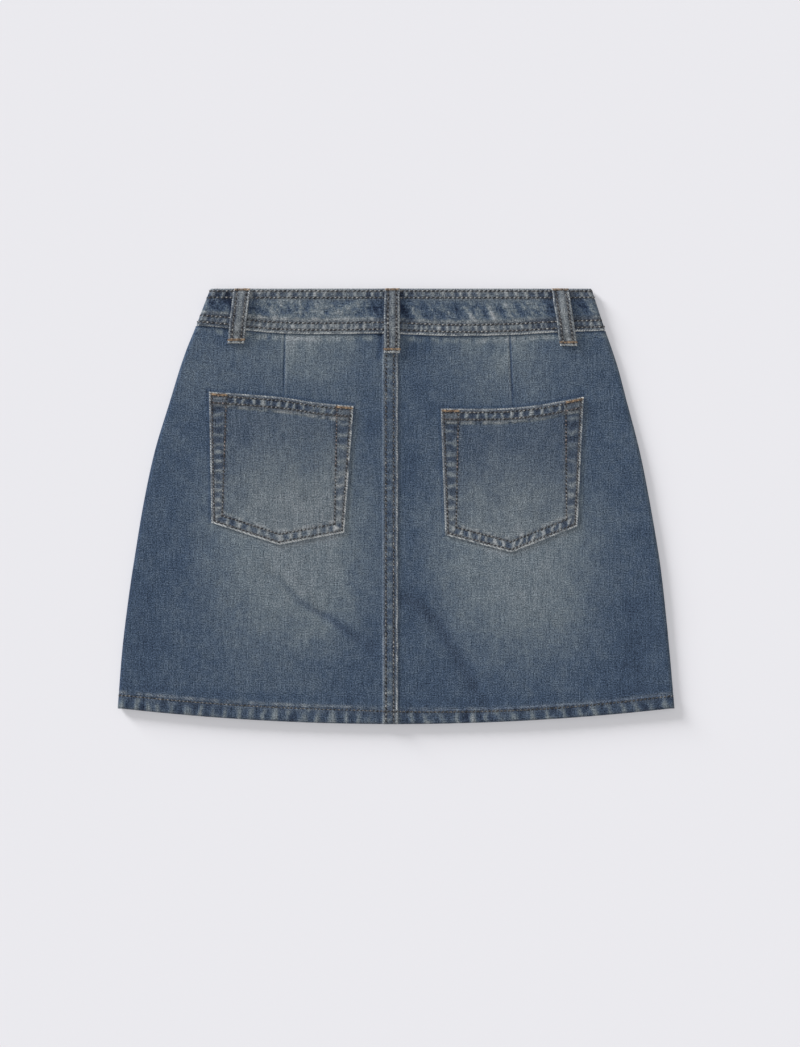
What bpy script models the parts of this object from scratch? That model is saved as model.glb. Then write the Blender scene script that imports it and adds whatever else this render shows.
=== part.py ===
"""Denim mini skirt, lying flat on its front with its back up.

It is built as it is sewn: two back panels on a felled centre seam, two front panels that meet at
a zipped fly, one long waistband, two patch pockets, three belt loops, a zip and a button. X runs
across the skirt, Y from hem to waist, and Z up out of the table. The wearer's left is at -X. The
front lies flat on the table, and the back rests on it with a little air in between.
"""

import math
from collections import namedtuple

import bmesh
import bpy

MM = 0.001  # every size below is in millimetres, and the meshes are in metres

# Cloth
CLOTH = 1.2  # wall of one layer of heavy denim
GAP = 0.3  # left between two pieces where they are sewn together
BAND_WALL = 2.2  # the waistband is two layers, with the seam allowances between them
BAND_PROUD = 1.2  # height of the waistband above the panel that it holds
HEM_WALL = 2.2  # the hem is turned twice to the inside
HEM_DEPTH = 11.0  # from the hem's edge to its stitches
HEM_RISE = 0.7  # the turned layers lift the back's hem by this much
FELL_WIDTH = 12.6  # the centre back seam is felled, which makes a strip of four layers
FELL_RISE = 1.1
STEP_RUN = 0.9  # a raised layer comes down to the plain cloth over this distance
EDGE_ROUNDING = 0.5  # how far a folded or worn edge falls away from the face beside it

# Outline as it lies: half way round the skirt on each side, from the hem to the top edge
Station = namedtuple("Station", "y left right")
OUTLINE = (
    Station(-176.0, -243.0, 243.0),
    Station(-125.0, -239.0, 238.6),
    Station(-81.0, -233.7, 234.2),
    Station(-46.0, -228.5, 229.8),
    Station(6.0, -219.8, 221.0),
    Station(50.0, -210.2, 212.2),
    Station(93.0, -197.1, 201.0),
    Station(119.0, -189.2, 194.2),
    Station(137.0, -183.0, 188.6),
    Station(154.0, -176.1, 182.6),
    Station(172.0, -169.2, 176.6),
    Station(190.0, -162.2, 170.9),
)
HEM_LOWEST = -190.0  # at the middle of the hem, which curves up to the two sides
HEM_SWEEP = 14.0
HEM_HALF_WIDTH = 243.0
WAIST_TOP = 190.0
FRONT_DIP = 11.0  # the front waist is this much lower than the back at its middle

# Where the waistband's lower edge crosses the back
Band = namedtuple("Band", "x y")
BACK_WAIST_SEAM = (
    Band(-175.0, 158.6),
    Band(-147.0, 156.0),
    Band(-128.0, 153.7),
    Band(-97.0, 151.3),
    Band(-57.0, 150.7),
    Band(-11.0, 151.2),
    Band(48.0, 149.5),
    Band(100.0, 150.5),
    Band(141.0, 152.7),
    Band(183.0, 154.1),
)

BACK_SEAM_X = 1.6  # the felled seam's folded edge, where the left panel laps over the right
FRONT_SEAM_HEM_X = 4.6  # the fly's edge at the hem, and at the waist
FRONT_SEAM_WAIST_X = 13.0

# Height of the back's outer face above the table
SIDE_HEIGHT = 5.0  # two layers of cloth with air between them, held apart by the side seams
SIDE_ROLL = 4.0  # width of the soft roll where the cloth turns under to the front

# Broad swells of the back, where air or a hard piece lies under it
Swell = namedtuple("Swell", "x y width length rise")
SWELLS = (
    Swell(10.0, 132.0, 70.0, 92.0, 1.1),  # over the zip, its slider and the button
    Swell(-125.0, -70.0, 70.0, 80.0, 1.1),
    Swell(130.0, -55.0, 75.0, 85.0, 1.2),
    Swell(-105.0, 60.0, 60.0, 60.0, 0.4),
    Swell(105.0, 55.0, 60.0, 60.0, 0.4),
)

# Creases of the back, each a soft trough from one end to the other
Crease = namedtuple("Crease", "x0 y0 x1 y1 width depth")
CREASES = (
    Crease(-108.0, -57.0, -62.0, -90.0, 9.0, 0.7),
    Crease(-62.0, -90.0, -17.0, -118.0, 9.0, 0.6),
    Crease(14.0, -80.0, 40.0, -102.0, 13.0, 0.5),
    Crease(40.0, -102.0, 77.0, -168.0, 14.0, 0.7),
    Crease(196.0, -92.0, 222.0, -122.0, 14.0, 0.4),
)

# Waist darts of the back: a stitched groove from the waistband to below the pocket's top edge
Dart = namedtuple("Dart", "top_x end_x end_y")
DART_LEFT = Dart(-96.7, -98.0, 88.0)
DART_RIGHT = Dart(99.4, 102.4, 80.0)
DART_HALF_WIDTH = 1.8
DART_DEPTH = 0.55
DART_FADE = 30.0  # the groove runs out over this length at its lower end

# Patch pockets: the top edge, corner to corner, and the pointed bottom edge
Corner = namedtuple("Corner", "x y")
Pocket = namedtuple("Pocket", "top bottom")
POCKET_LEFT = Pocket(
    top=(Corner(-161.8, 100.3), Corner(-94.5, 95.1), Corner(-77.8, 91.4), Corner(-37.4, 88.1)),
    bottom=(Corner(-159.6, -13.3), Corner(-102.0, -32.5), Corner(-45.3, -22.5)),
)
POCKET_RIGHT = Pocket(
    top=(Corner(40.0, 85.7), Corner(96.7, 85.7), Corner(128.5, 89.3), Corner(164.4, 96.1)),
    bottom=(Corner(44.1, -24.2), Corner(101.1, -39.3), Corner(158.8, -16.2)),
)
POCKET_HEM = 11.5  # the top edge is turned in and stitched down
POCKET_HEM_RISE = 0.9
POCKET_EASE = 0.5  # the pocket's middle stands this much off the panel

# Belt loops, from the waistband's top edge to the bar tacks on the panel
Loop = namedtuple("Loop", "top_x bottom_x bottom_y width on_seam")
BELT_LOOPS = {
    "belt_loop_left": Loop(-134.3, -139.7, 142.8, 14.9, False),
    "belt_loop_centre": Loop(-3.4, -3.4, 134.0, 13.6, True),
    "belt_loop_right": Loop(144.6, 150.1, 140.2, 15.1, False),
}
LOOP_WALL = 1.8
LOOP_ARCH = 1.5  # the belt's room between the loop and the waistband
LOOP_TOP_INSET = 0.2

# Zip and button of the fly
ZIP_LENGTH = 108.0
ZIP_TAPE_WIDTH = 26.0
ZIP_TAPE_WALL = 0.6
ZIP_CHAIN_WIDTH = 5.0
ZIP_CHAIN_RISE = 0.8
SLIDER_WIDTH = 8.0
SLIDER_LENGTH = 10.0
SLIDER_WALL = 1.1
TAB_WIDTH = 4.6
TAB_LENGTH = 15.0
BUTTON_RADIUS = 8.5
BUTTON_CAP = 1.8
BUTTON_BEVEL = 0.5
BUTTON_CLEARANCE = 2.5  # from the button's rim to where the cloth starts to come down
BUTTON_FADE = 8.0

# How many faces each form has
TURN_STEPS = 4
BACK_ROWS = 21
FRONT_ROWS = 11
FRONT_COLUMNS = 8
BAND_BACK_COLUMNS = 28
BAND_FRONT_COLUMNS = 5
BAND_FLY_COLUMNS = 6
BAND_FLY_REACH = 30.0
BAND_ROWS = (0.0, 0.035, 0.2, 0.4, 0.6, 0.8, 0.965, 1.0)
POCKET_COLUMNS = 10
POCKET_ROWS = 8
LOOP_ROWS = 12
BUTTON_SIDES = 28


def clear_scene():
    for thing in list(bpy.data.objects):
        bpy.data.objects.remove(thing, do_unlink=True)


# ---------------------------------------------------------------- lines of the laid skirt


def mix(start, end, share):
    return start + (end - start) * share


def ease(share):
    """0 to 1 with a soft start and end."""
    share = min(max(share, 0.0), 1.0)
    return share * share * (3.0 - 2.0 * share)


def smooth_line(points):
    """A function that passes smoothly through (position, value) points in rising order."""
    places = [point[0] for point in points]
    values = [point[1] for point in points]
    last = len(points) - 1
    slopes = []
    for i in range(last + 1):
        before = max(i - 1, 0)
        after = min(i + 1, last)
        slopes.append((values[after] - values[before]) / (places[after] - places[before]))

    def value_at(place):
        if place <= places[0]:
            return values[0] + slopes[0] * (place - places[0])
        if place >= places[last]:
            return values[last] + slopes[last] * (place - places[last])
        i = max(k for k in range(last) if places[k] <= place)
        span = places[i + 1] - places[i]
        t = (place - places[i]) / span
        rise = ease(t)
        lead_in = slopes[i] * span * t * (1.0 - t) ** 2
        lead_out = slopes[i + 1] * span * t * t * (t - 1.0)
        return mix(values[i], values[i + 1], rise) + lead_in + lead_out

    return value_at


left_side = smooth_line([(row.y, row.left) for row in OUTLINE])
right_side = smooth_line([(row.y, row.right) for row in OUTLINE])
back_waist_seam = smooth_line(BACK_WAIST_SEAM)


def side_line(sign):
    return right_side if sign > 0 else left_side


def hem_line(x):
    return HEM_LOWEST + HEM_SWEEP * (x / HEM_HALF_WIDTH) ** 2


def front_seam(y):
    share = (y - HEM_LOWEST) / (WAIST_TOP - HEM_LOWEST)
    return mix(FRONT_SEAM_HEM_X, FRONT_SEAM_WAIST_X, share)


def front_dip(x):
    """How far the front waist lies below the back waist at this x: none at the sides."""
    middle = FRONT_SEAM_WAIST_X
    edge = right_side(WAIST_TOP) if x > middle else left_side(WAIST_TOP)
    share = min(abs(x - middle) / abs(edge - middle), 1.0)
    return FRONT_DIP * (1.0 - share**2)


def front_waist_seam(x):
    """The waistband is as deep in front as it is at the side seam that it comes from."""
    edge = BACK_WAIST_SEAM[-1] if x > FRONT_SEAM_WAIST_X else BACK_WAIST_SEAM[0]
    share = min(abs(x - FRONT_SEAM_WAIST_X) / abs(edge.x - FRONT_SEAM_WAIST_X), 1.0)
    middle = (BACK_WAIST_SEAM[0].y + BACK_WAIST_SEAM[-1].y) / 2.0 - FRONT_DIP - 4.0
    return mix(middle, edge.y, share**2)


# ---------------------------------------------------------------- height of the back


def distance_to_crease(crease, x, y):
    """Distance from (x, y) to the crease's line, and how far along it that is, from 0 to 1."""
    run_x = crease.x1 - crease.x0
    run_y = crease.y1 - crease.y0
    along = ((x - crease.x0) * run_x + (y - crease.y0) * run_y) / (run_x**2 + run_y**2)
    along = min(max(along, 0.0), 1.0)
    return math.hypot(x - crease.x0 - run_x * along, y - crease.y0 - run_y * along)


def back_height(x, y):
    """Outer face of the plain back cloth, without the seam, the hem or the waistband."""
    height = SIDE_HEIGHT
    for swell in SWELLS:
        spread = ((x - swell.x) / swell.width) ** 2 + ((y - swell.y) / swell.length) ** 2
        height += swell.rise * math.exp(-spread)
    for crease in CREASES:
        spread = (distance_to_crease(crease, x, y) / crease.width) ** 2
        height -= crease.depth * math.exp(-spread)
    return height


def dart_x(dart, y):
    top_y = back_waist_seam(dart.top_x)
    return mix(dart.end_x, dart.top_x, (y - dart.end_y) / (top_y - dart.end_y))


def dart_depth(dart, y):
    return DART_DEPTH * ease((y - dart.end_y) / DART_FADE)


# ---------------------------------------------------------------- building solids


def denim(name, colour):
    material = bpy.data.materials.new(name)
    material.use_nodes = True
    shader = material.node_tree.nodes["Principled BSDF"]
    shader.inputs["Base Color"].default_value = (*colour, 1.0)
    shader.inputs["Roughness"].default_value = 0.9
    shader.inputs["Metallic"].default_value = 0.0
    material.diffuse_color = (*colour, 1.0)
    return material


def brass(name):
    material = bpy.data.materials.new(name)
    material.use_nodes = True
    shader = material.node_tree.nodes["Principled BSDF"]
    shader.inputs["Base Color"].default_value = (0.35, 0.22, 0.10, 1.0)
    shader.inputs["Roughness"].default_value = 0.4
    shader.inputs["Metallic"].default_value = 1.0
    material.diffuse_color = (0.35, 0.22, 0.10, 1.0)
    return material


def add_object(name, bm, material):
    bmesh.ops.recalc_face_normals(bm, faces=bm.faces)
    bmesh.ops.scale(bm, vec=(MM, MM, MM), verts=bm.verts)
    mesh = bpy.data.meshes.new(name)
    bm.to_mesh(mesh)
    bm.free()
    mesh.materials.append(material)
    thing = bpy.data.objects.new(name, mesh)
    bpy.context.scene.collection.objects.link(thing)
    return thing


def wall(name, outer, inner, material):
    """A closed cloth wall between two grids of points, given as rows of equal length."""
    bm = bmesh.new()
    rows = len(outer)
    columns = len(outer[0])
    faces = []
    for grid in (outer, inner):
        corners = [[bm.verts.new(point) for point in row] for row in grid]
        faces.append(corners)
        for r in range(rows - 1):
            for c in range(columns - 1):
                quad = (corners[r][c], corners[r][c + 1], corners[r + 1][c + 1], corners[r + 1][c])
                bm.faces.new(quad)
    rim = [(0, c) for c in range(columns)]
    rim += [(r, columns - 1) for r in range(1, rows)]
    rim += [(rows - 1, c) for c in range(columns - 2, -1, -1)]
    rim += [(r, 0) for r in range(rows - 2, 0, -1)]
    for i, (r, c) in enumerate(rim):
        next_r, next_c = rim[(i + 1) % len(rim)]
        top, below = faces
        bm.faces.new((top[r][c], top[next_r][next_c], below[next_r][next_c], below[r][c]))
    return add_object(name, bm, material)


def plate(name, outline, low, high, material):
    """A flat solid of one outline, from one height to another."""
    bm = bmesh.new()
    base = bm.faces.new([bm.verts.new((x, y, low)) for x, y in outline])
    lifted = bmesh.ops.extrude_face_region(bm, geom=[base])
    tops = [part for part in lifted["geom"] if isinstance(part, bmesh.types.BMVert)]
    bmesh.ops.translate(bm, verts=tops, vec=(0.0, 0.0, high - low))
    return add_object(name, bm, material)


# ---------------------------------------------------------------- panels

# A column is a line down a panel: its x at each y, the height that its seam strip adds, the depth
# of its dart groove at each y, and how far round the side roll it is, from 0 to a quarter turn.
Column = namedtuple("Column", "x rise groove turn")
# A row is a line across a panel: its y at each x, the hem's share of it, and its edge rounding.
Row = namedtuple("Row", "y hem rounding")


def no_groove(_y):
    return 0.0


def columns_between(start, end, count, include_start=False):
    """Columns spread evenly from one line to another, without the last."""
    found = []
    for step in range(0 if include_start else 1, count):
        share = step / count

        def line(y, share=share):
            return mix(start(y), end(y), share)

        found.append(Column(line, 0.0, no_groove, 0.0))
    return found


def roll_columns(sign):
    """Columns round the quarter turn at the side, ending at the side seam."""
    edge = side_line(sign)
    found = []
    for step in range(TURN_STEPS + 1):
        turn = math.pi / 2.0 * step / TURN_STEPS
        found.append(Column(lambda y: edge(y) - sign * SIDE_ROLL, 0.0, no_groove, turn))
    return found


def panel_rows(count, waist, hem_inset):
    """Rows from the hem's edge to the waist seam."""
    hem_top = HEM_DEPTH + STEP_RUN

    def above(distance):
        return lambda x: hem_line(x) + hem_inset + distance

    found = [
        Row(above(0.0), 1.0, EDGE_ROUNDING),
        Row(above(1.0), 1.0, 0.0),
        Row(above(HEM_DEPTH), 1.0, 0.0),
        Row(above(hem_top), 0.0, 0.0),
    ]
    for step in range(1, count + 1):
        share = step / count

        def line(x, share=share):
            return mix(hem_line(x) + hem_inset + hem_top, waist(x) - GAP, share)

        found.append(Row(line, 0.0, 0.0))
    return found


def crossing(column, row):
    """Where a column and a row of a panel meet."""
    y = 0.0
    for _ in range(8):
        x = column.x(y)
        y = row.y(x)
    return x, y


def panel(name, columns, rows, sign, is_back, material):
    outer = []
    inner = []
    for row in rows:
        outer_row = []
        inner_row = []
        for column in columns:
            x, y = crossing(column, row)
            top = back_height(x, y) + HEM_RISE * row.hem
            thickness = mix(CLOTH, HEM_WALL, row.hem)
            for depth, points in ((row.rounding, outer_row), (thickness, inner_row)):
                if column.turn > 0.0:
                    middle = top / 2.0
                    reach = (SIDE_ROLL - depth) * math.sin(column.turn)
                    half = max((middle - depth) * math.cos(column.turn), GAP / 2.0)
                    points.append((x + sign * reach, y, middle + half if is_back else middle - half))
                elif is_back:
                    raised = 0.0
                    if points is outer_row:
                        raised = column.rise - column.groove(y)
                    points.append((x, y, top - depth + raised))
                else:
                    points.append((x, y, depth))
        outer.append(outer_row)
        inner.append(inner_row)
    return wall(name, outer, inner, material)


def back_panel(name, sign, dart, material):
    """One half of the back. The left half carries the felled strip of the centre seam."""
    columns = []
    if sign < 0:
        strip_end = BACK_SEAM_X - FELL_WIDTH
        columns.append(Column(lambda y: BACK_SEAM_X, FELL_RISE - EDGE_ROUNDING, no_groove, 0.0))
        columns.append(Column(lambda y: BACK_SEAM_X - STEP_RUN, FELL_RISE, no_groove, 0.0))
        columns.append(Column(lambda y: strip_end, FELL_RISE, no_groove, 0.0))
        start_x = strip_end - STEP_RUN
    else:
        start_x = BACK_SEAM_X + GAP
    inner_edge = dart_edge(dart, -sign)
    outer_edge = dart_edge(dart, sign)
    columns += columns_between(lambda y: start_x, inner_edge, 7, include_start=True)
    columns.append(Column(inner_edge, 0.0, no_groove, 0.0))
    columns.append(Column(lambda y: dart_x(dart, y), 0.0, lambda y: dart_depth(dart, y), 0.0))
    columns.append(Column(outer_edge, 0.0, no_groove, 0.0))
    roll = roll_columns(sign)
    columns += columns_between(outer_edge, roll[0].x, 8)
    columns += roll
    return panel(name, columns, panel_rows(BACK_ROWS, back_waist_seam, 0.0), sign, True, material)


def dart_edge(dart, sign):
    return lambda y: dart_x(dart, y) + sign * DART_HALF_WIDTH


def front_panel(name, sign, material):
    """One half of the front, from the fly's edge to the side seam, flat on the table."""
    roll = roll_columns(sign)
    edge = columns_between(
        lambda y: front_seam(y) + sign * GAP / 2.0, roll[0].x, FRONT_COLUMNS, include_start=True
    )
    rows = panel_rows(FRONT_ROWS, front_waist_seam, EDGE_ROUNDING)
    return panel(name, edge + roll, rows, sign, False, material)


# ---------------------------------------------------------------- waistband


def button_place():
    """Middle of the button, on the fly at half the waistband's depth."""
    x = front_seam(WAIST_TOP) - BUTTON_RADIUS - 1.0
    low = front_waist_seam(x)
    high = WAIST_TOP - front_dip(x)
    return x, (low + high) / 2.0


def button_lift(x, y):
    """How far the button pushes the front of the waistband up from the table."""
    middle_x, middle_y = button_place()
    away = math.hypot(x - middle_x, y - middle_y) - BUTTON_RADIUS - BUTTON_CLEARANCE
    return (BUTTON_CAP + GAP) * (1.0 - ease(away / BUTTON_FADE))


def band_columns():
    """Columns round the waistband, as (is it the back, share across, angle round the side)."""
    quarter = math.pi / 2.0
    turns = [-quarter + quarter * step / TURN_STEPS for step in range(2 * TURN_STEPS + 1)]
    fly = [BAND_FLY_REACH * step / BAND_FLY_COLUMNS for step in range(BAND_FLY_COLUMNS + 1)]
    found = []
    for reach in fly:
        found.append(("front", 1, reach, 0.0))
    for step in range(1, BAND_FRONT_COLUMNS):
        found.append(("front", 1, BAND_FLY_REACH, step / BAND_FRONT_COLUMNS))
    for turn in turns:
        found.append(("turn", 1, turn, 0.0))
    for step in range(1, BAND_BACK_COLUMNS):
        found.append(("back", 0, 0.0, step / BAND_BACK_COLUMNS))
    for turn in reversed(turns):
        found.append(("turn", -1, turn, 0.0))
    for step in range(BAND_FRONT_COLUMNS - 1, 0, -1):
        found.append(("front", -1, BAND_FLY_REACH, step / BAND_FRONT_COLUMNS))
    for reach in reversed(fly):
        found.append(("front", -1, reach, 0.0))
    return found


def band_point(place, sign, amount, share, up, depth):
    """A point of the waistband, at `depth` below its outer face."""
    on_front = place == "front" or (place == "turn" and amount < 0.0)
    y = (WAIST_TOP + back_waist_seam(0.0)) / 2.0
    for _ in range(8):
        if place == "back":
            x = mix(right_side(y) - SIDE_ROLL, left_side(y) + SIDE_ROLL, share)
        elif place == "turn":
            x = side_line(sign)(y) - sign * SIDE_ROLL
        else:
            start = front_seam(y) + sign * (GAP / 2.0 + amount)
            x = mix(start, side_line(sign)(y) - sign * SIDE_ROLL, share)
        low = front_waist_seam(x) if on_front else back_waist_seam(x)
        high = WAIST_TOP - front_dip(x) if on_front else WAIST_TOP
        if place == "turn":
            low = back_waist_seam(side_line(sign)(low))
            high = WAIST_TOP
        y = mix(low, high, up)
    top = back_height(x, y) + BAND_PROUD
    if place == "back":
        return x, y, top - depth
    if place == "front":
        return x, y, depth + button_lift(x, y)
    middle = top / 2.0
    reach = (SIDE_ROLL - depth) * math.cos(amount)
    return x + sign * reach, y, middle + (middle - depth) * math.sin(amount)


def waistband(material):
    outer = []
    inner = []
    for up in BAND_ROWS:
        rounding = EDGE_ROUNDING if up in (0.0, 1.0) else 0.0
        columns = band_columns()
        outer.append([band_point(*column, up, rounding) for column in columns])
        inner.append([band_point(*column, up, BAND_WALL - rounding) for column in columns])
    return wall("waistband", outer, inner, material)


# ---------------------------------------------------------------- pockets and loops


def edge_point(corners, share, smooth):
    """A point along a pocket's edge, at a share of its width."""
    width = corners[-1].x - corners[0].x
    x = corners[0].x + width * share
    if smooth:
        return x, smooth_line(corners)(x)
    for start, end in zip(corners, corners[1:]):
        if x <= end.x + GAP:
            return x, mix(start.y, end.y, (x - start.x) / (end.x - start.x))
    return x, corners[-1].y


def pocket(name, shape, material):
    """A patch pocket on the panel's own surface, moved out, with its turned top hem raised."""
    point_x = shape.bottom[1].x
    point_share = (point_x - shape.bottom[0].x) / (shape.bottom[2].x - shape.bottom[0].x)
    half = POCKET_COLUMNS // 2
    shares = [0.0, 0.012]
    shares += [point_share * step / half for step in range(1, half)]
    shares += [mix(point_share, 1.0, step / half) for step in range(half)]
    shares += [0.988, 1.0]
    depth = shape.top[0].y - shape.bottom[0].y
    hem_low = 1.0 - (POCKET_HEM + STEP_RUN) / depth
    rows = [(0.0, 0.0, 1.0), (0.01, 0.0, 0.0)]
    rows += [(hem_low * step / POCKET_ROWS, 0.0, 0.0) for step in range(1, POCKET_ROWS + 1)]
    rows += [(1.0 - POCKET_HEM / depth, 1.0, 0.0), (0.993, 1.0, 0.0), (1.0, 1.0, 1.0)]
    outer = []
    inner = []
    for up, hem, edge in rows:
        outer_row = []
        inner_row = []
        for share in shares:
            low_x, low_y = edge_point(shape.bottom, share, False)
            high_x, high_y = edge_point(shape.top, share, True)
            x = mix(low_x, high_x, up)
            y = mix(low_y, high_y, up)
            rounding = EDGE_ROUNDING if edge or share in (0.0, 1.0) else 0.0
            ease_off = POCKET_EASE * math.sin(math.pi * share) * math.sin(math.pi * min(up, 1.0))
            under = back_height(x, y) + GAP + ease_off
            outer_row.append((x, y, under + CLOTH + POCKET_HEM_RISE * hem - rounding))
            inner_row.append((x, y, under))
        outer.append(outer_row)
        inner.append(inner_row)
    return wall(name, outer, inner, material)


def belt_loop(name, shape, material):
    """A strap over the waistband, made from the points of what it lies on, moved out."""
    outer = []
    inner = []
    length = WAIST_TOP - shape.bottom_y
    for step in range(LOOP_ROWS + 1):
        share = step / LOOP_ROWS
        y = mix(WAIST_TOP - LOOP_TOP_INSET, shape.bottom_y, share)
        middle = mix(shape.top_x, shape.bottom_x, share)
        seam_y = back_waist_seam(middle)
        on_band = BAND_PROUD if shape.on_seam else BAND_PROUD * ease((y - seam_y + 6.0) / 5.0)
        arch_share = min((WAIST_TOP - y) / (length - 8.0), 1.0)
        arch = LOOP_ARCH * math.sin(math.pi * arch_share)
        outer_row = []
        inner_row = []
        end = step in (0, LOOP_ROWS)
        for across in (-0.5, -0.42, 0.0, 0.42, 0.5):
            x = middle + across * shape.width
            under = back_height(x, y) + on_band + GAP + arch
            rounding = EDGE_ROUNDING if end or abs(across) == 0.5 else 0.0
            outer_row.append((x, y, under + LOOP_WALL - rounding))
            inner_row.append((x, y, under))
        outer.append(outer_row)
        inner.append(inner_row)
    return wall(name, outer, inner, material)


# ---------------------------------------------------------------- zip and button


def zip_strip(material):
    """Two tapes and the closed chain, inside the fly, as one strip with a raised middle."""
    top_y = front_waist_seam(FRONT_SEAM_WAIST_X) - 1.0
    bottom_y = top_y - ZIP_LENGTH
    tape = ZIP_TAPE_WIDTH / 2.0
    chain = ZIP_CHAIN_WIDTH / 2.0
    across = (
        (-tape, 0.0),
        (-chain - 0.6, 0.0),
        (-chain, ZIP_CHAIN_RISE),
        (chain, ZIP_CHAIN_RISE),
        (chain + 0.6, 0.0),
        (tape, 0.0),
    )
    low = CLOTH + GAP
    outer = []
    inner = []
    for y in (bottom_y, (bottom_y + top_y) / 2.0, top_y):
        outer.append([(front_seam(y) + x, y, low + ZIP_TAPE_WALL + rise) for x, rise in across])
        inner.append([(front_seam(y) + x, y, low) for x, rise in across])
    return wall("zip", outer, inner, material)


def zip_slider(material):
    """The slider at the closed zip's top, with its tab hanging down over the chain."""
    top_y = front_waist_seam(FRONT_SEAM_WAIST_X) - 2.0
    body = SLIDER_WIDTH / 2.0
    tab = TAB_WIDTH / 2.0
    shoulder_y = top_y - SLIDER_LENGTH
    tab_y = shoulder_y - TAB_LENGTH
    middle = front_seam(shoulder_y)
    right_half = (
        (tab * 0.6, tab_y),
        (tab, tab_y + 1.5),
        (tab * 0.7, shoulder_y - 1.0),
        (body * 0.75, shoulder_y),
        (body, top_y - 2.0),
        (body * 0.7, top_y),
    )
    outline = [(middle + x, y) for x, y in right_half]
    outline += [(middle - x, y) for x, y in reversed(right_half)]
    low = CLOTH + GAP + ZIP_TAPE_WALL + ZIP_CHAIN_RISE + GAP
    return plate("zip_slider", outline, low, low + SLIDER_WALL, material)


def button(material):
    """A shank button's cap, pressed flat against the table by the skirt's weight."""
    middle_x, middle_y = button_place()
    rings = (
        (BUTTON_RADIUS - BUTTON_BEVEL, 0.0),
        (BUTTON_RADIUS, BUTTON_BEVEL),
        (BUTTON_RADIUS, BUTTON_CAP - BUTTON_BEVEL),
        (BUTTON_RADIUS - BUTTON_BEVEL, BUTTON_CAP),
    )
    bm = bmesh.new()
    loops = []
    for radius, height in rings:
        ring = []
        for i in range(BUTTON_SIDES):
            angle = 2.0 * math.pi * i / BUTTON_SIDES
            x = middle_x + radius * math.cos(angle)
            y = middle_y + radius * math.sin(angle)
            ring.append(bm.verts.new((x, y, height)))
        loops.append(ring)
    for low, high in zip(loops, loops[1:]):
        for i in range(BUTTON_SIDES):
            after = (i + 1) % BUTTON_SIDES
            bm.faces.new((low[i], low[after], high[after], high[i]))
    bm.faces.new(loops[0])
    bm.faces.new(loops[-1])
    return add_object("button", bm, material)


clear_scene()
back_panel("back_left", -1, DART_LEFT, denim("denim_back_left", (0.10, 0.15, 0.21)))
back_panel("back_right", 1, DART_RIGHT, denim("denim_back_right", (0.10, 0.15, 0.21)))
front_panel("front_left", -1, denim("denim_front_left", (0.10, 0.15, 0.21)))
front_panel("front_right", 1, denim("denim_front_right", (0.10, 0.15, 0.21)))
waistband(denim("denim_waistband", (0.12, 0.16, 0.20)))
pocket("pocket_left", POCKET_LEFT, denim("denim_pocket_left", (0.12, 0.17, 0.22)))
pocket("pocket_right", POCKET_RIGHT, denim("denim_pocket_right", (0.12, 0.17, 0.22)))
for loop_name, loop_shape in BELT_LOOPS.items():
    belt_loop(loop_name, loop_shape, denim("denim_" + loop_name, (0.11, 0.15, 0.20)))
zip_strip(denim("zip_tape", (0.03, 0.04, 0.07)))
zip_slider(brass("slider_brass"))
button(brass("button_brass"))
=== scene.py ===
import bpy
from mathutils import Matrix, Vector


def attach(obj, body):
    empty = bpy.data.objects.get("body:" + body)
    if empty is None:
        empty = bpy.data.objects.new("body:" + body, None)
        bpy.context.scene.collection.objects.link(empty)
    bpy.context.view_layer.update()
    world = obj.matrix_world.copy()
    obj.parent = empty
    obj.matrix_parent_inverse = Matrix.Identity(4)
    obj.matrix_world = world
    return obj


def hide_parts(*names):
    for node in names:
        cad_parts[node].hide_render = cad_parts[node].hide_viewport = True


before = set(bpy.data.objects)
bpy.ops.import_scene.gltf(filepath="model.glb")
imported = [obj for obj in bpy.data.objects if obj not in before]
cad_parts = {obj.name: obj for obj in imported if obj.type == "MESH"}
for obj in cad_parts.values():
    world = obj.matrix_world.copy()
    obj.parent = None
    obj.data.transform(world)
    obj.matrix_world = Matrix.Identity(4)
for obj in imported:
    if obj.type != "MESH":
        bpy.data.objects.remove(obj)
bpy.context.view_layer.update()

import math
from collections import namedtuple

import bmesh
import bpy
import numpy as np

# A denim mini skirt that lies flat on its front, with its back up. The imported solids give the
# places and sizes. Each piece of cloth is made again as a finer shell on the same form, with its
# stitching, puckers, creases, fades and worn edges. Lengths inside the sections are millimetres,
# and they become metres as each mesh is made.

# ---------------------------------------------------------------- table, light and camera
# A plain pale table under soft daylight from the upper left, which throws the skirt's low soft
# shadow to the right and below. The camera hangs straight above it with a long lens.

MM = 0.001
FRAME_WIDTH = 698.4  # of the table in view
FRAME_MIDDLE = (3.7, -14.6)
FRAME_HEIGHT = FRAME_WIDTH * 1047.0 / 800.0  # the frame is 800 wide by 1047 high
FACE_HEIGHT = 5.0  # of the cloth above the table, where the frame's width is measured
LENS = 100.0
SENSOR = 36.0
TABLE_LEVEL = -0.2
TABLE_REACH = 12000.0


def swatch(red, green, blue):
    """A colour as read off a swatch, from 0 to 255, in the shader's own linear numbers."""
    levels = [level / 255.0 for level in (red, green, blue)]
    return [c / 12.92 if c <= 0.04045 else ((c + 0.055) / 1.055) ** 2.4 for c in levels]


def add_node(tree, kind, settings=None, **inputs):
    """A shader node with its settings, and its inputs set or linked by name."""
    made = tree.nodes.new(kind)
    for key, value in (settings or {}).items():
        setattr(made, key, value)
    for key, value in inputs.items():
        socket = made.inputs[int(key[1:])] if key[1:].isdigit() else made.inputs[key.replace("_", " ")]
        if isinstance(value, bpy.types.NodeSocket):
            tree.links.new(value, socket)
        else:
            socket.default_value = value
    return made


def calculate(tree, operation, first, second=0.0, clamp=False):
    settings = {"operation": operation, "use_clamp": clamp}
    return add_node(tree, "ShaderNodeMath", settings, _0=first, _1=second).outputs[0]


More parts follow.
